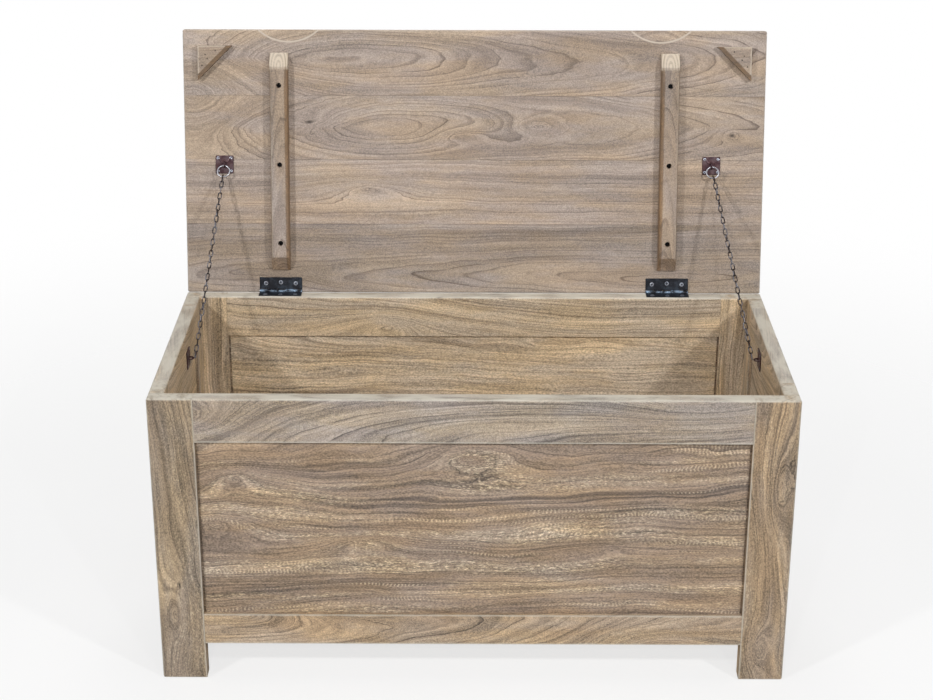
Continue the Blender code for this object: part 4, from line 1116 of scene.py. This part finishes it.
joint_places = {joint["name"]: Vector(joint["pos_m"]) for joint in frame["joints"]}
for side, _ in SIDES:
    chain = side + "_chain_"
    start = joint_places[chain + "ring_swing"]
    along = (joint_places[chain + "lower_links_turn"] - start).normalized()
    across = (RIGHT - along.x * along).normalized()
    place = placement(start, Matrix((across, along.cross(across), along)).transposed())
    add_piece(chain + "ring_wire", ring_mesh(), place, RING_STEEL, chain + "upper", "chain_steel",
              chain + "ring")
    for run, first_level in RUN_STARTS_LEVEL.items():
        node = f"{chain}{run}_links"
        add_piece(node + "_wire", link_run(place, node, first_level), place, CHAIN_STEEL, chain + run,
                  "chain_steel", node)

# Floor, light and camera
# A pale studio floor; two lamps at the front on the left and right, two small faint ones near the
# camera, a wide soft one overhead and one behind; and a camera where the photographer stood.

FLOOR_SIZE = 5.0
FLOOR_DROP = 0.0005
FLOOR_GLOW = 0.72


def floor_paint():
    """Matt white paint that runs out into the white background away from the chest."""
    material, graph, paint = start_material("studio_floor_paint")
    place = graph.place()
    graph.set(paint.inputs["Base Color"], (0.9, 0.9, 0.9))
    graph.set(paint.inputs["Roughness"], graph.plus(graph.noise(place, (3, 3, 3), 3), 0.4))
    glow = graph.add("Emission", {}).outputs[0]
    seen = graph.add("LightPath", {}).outputs["Is Camera Ray"]
    lifted = graph.add("MixShader", {0: graph.times(seen, FLOOR_GLOW), 1: paint.outputs[0], 2: glow})
    gone = graph.between(graph.length(place), FLOOR_SIZE * 0.12, FLOOR_SIZE * 0.45)
    clear = graph.add("BsdfTransparent", {}).outputs[0]
    open_floor = graph.add("MixShader", {0: gone, 1: lifted.outputs[0], 2: clear})
    graph.set(material.node_tree.nodes["Material Output"].inputs["Surface"], open_floor.outputs[0])
    return material


def add_lamp(name, place, target, size, power, spread):
    data = bpy.data.lights.new(name, "AREA")
    data.shape = "DISK"
    data.size = size
    data.energy = power
    data.spread = math.radians(spread)
    lamp = bpy.data.objects.new(name, data)
    lamp.location = place
    lamp.rotation_euler = (Vector(target) - Vector(place)).to_track_quat("-Z", "Y").to_euler()
    bpy.context.scene.collection.objects.link(lamp)


floor_bm = bmesh.new()
bmesh.ops.create_grid(floor_bm, x_segments=2, y_segments=2, size=FLOOR_SIZE / 2)
floor = mesh_object("studio_floor", floor_bm)
floor.location.z = -FLOOR_DROP
floor.data.materials.append(floor_paint())

CHEST_MIDDLE = (0, 0.1, 0.55)
for side, sign in SIDES:
    add_lamp(side + "_lamp", (2.2 * sign, -2.4, 2.3), CHEST_MIDDLE, size=0.25, power=16.2, spread=100)
for side, place in (("left", (-0.43, -3.0, 1.8)), ("right", (0.9, -2.9, 1.9))):
    add_lamp(f"near_{side}_lamp", place, CHEST_MIDDLE, size=0.05, power=4.2, spread=100)
add_lamp("top_lamp", (0, 0.1, 3.0), (0, -0.1, 0.3), size=1.6, power=20, spread=180)
add_lamp("rear_lamp", (0, 3.2, 1.9), (0, 0, 0.4), size=1.5, power=40, spread=180)

WORLD_LIGHT = 0.08
world = bpy.data.worlds.new("studio")
world.use_nodes = True
bpy.context.scene.world = world
world_graph = Graph(world.node_tree)
sky = world.node_tree.nodes["Background"].inputs
rays = world_graph.add("LightPath", {}).outputs
mirrored = world_graph.math("MAXIMUM", rays["Is Glossy Ray"], rays["Is Transmission Ray"])
seen = world_graph.math("MAXIMUM", rays["Is Camera Ray"], mirrored)
strength = world_graph.add("MapRange", {"Value": seen, "To Min": WORLD_LIGHT, "To Max": 1.0})
world_graph.set(sky["Strength"], strength.outputs[0])
world_graph.set(sky["Color"], (1, 1, 1))

PHOTO_WIDTH = 933
FOCAL_PIXELS = 1878.3
CENTRE_DROP_PIXELS = 50
CAMERA_BEFORE_FRONT = 2.6051
CAMERA_HEIGHT = 1.6772
CAMERA_PITCH = 0.3730
CAMERA_YAW = -0.0027
CAMERA_ROLL = 0.0024
CAMERA_ASIDE = 0.0044
camera_data = bpy.data.cameras.new("photo_camera")
camera_data.sensor_width = 36.0
camera_data.lens = FOCAL_PIXELS / PHOTO_WIDTH * camera_data.sensor_width
camera_data.shift_y = -CENTRE_DROP_PIXELS / PHOTO_WIDTH
camera = bpy.data.objects.new("photo_camera", camera_data)
camera.location = (-CAMERA_ASIDE, cad_low.y - CAMERA_BEFORE_FRONT, CAMERA_HEIGHT)
aim = Matrix.Rotation(-CAMERA_YAW, 3, "Z") @ Matrix.Rotation(math.pi / 2 - CAMERA_PITCH, 3, "X")
camera.rotation_euler = (aim @ Matrix.Rotation(CAMERA_ROLL, 3, "Z")).to_euler()
bpy.context.scene.collection.objects.link(camera)
bpy.context.scene.camera = camera
bpy.context.scene.view_settings.view_transform = "Standard"
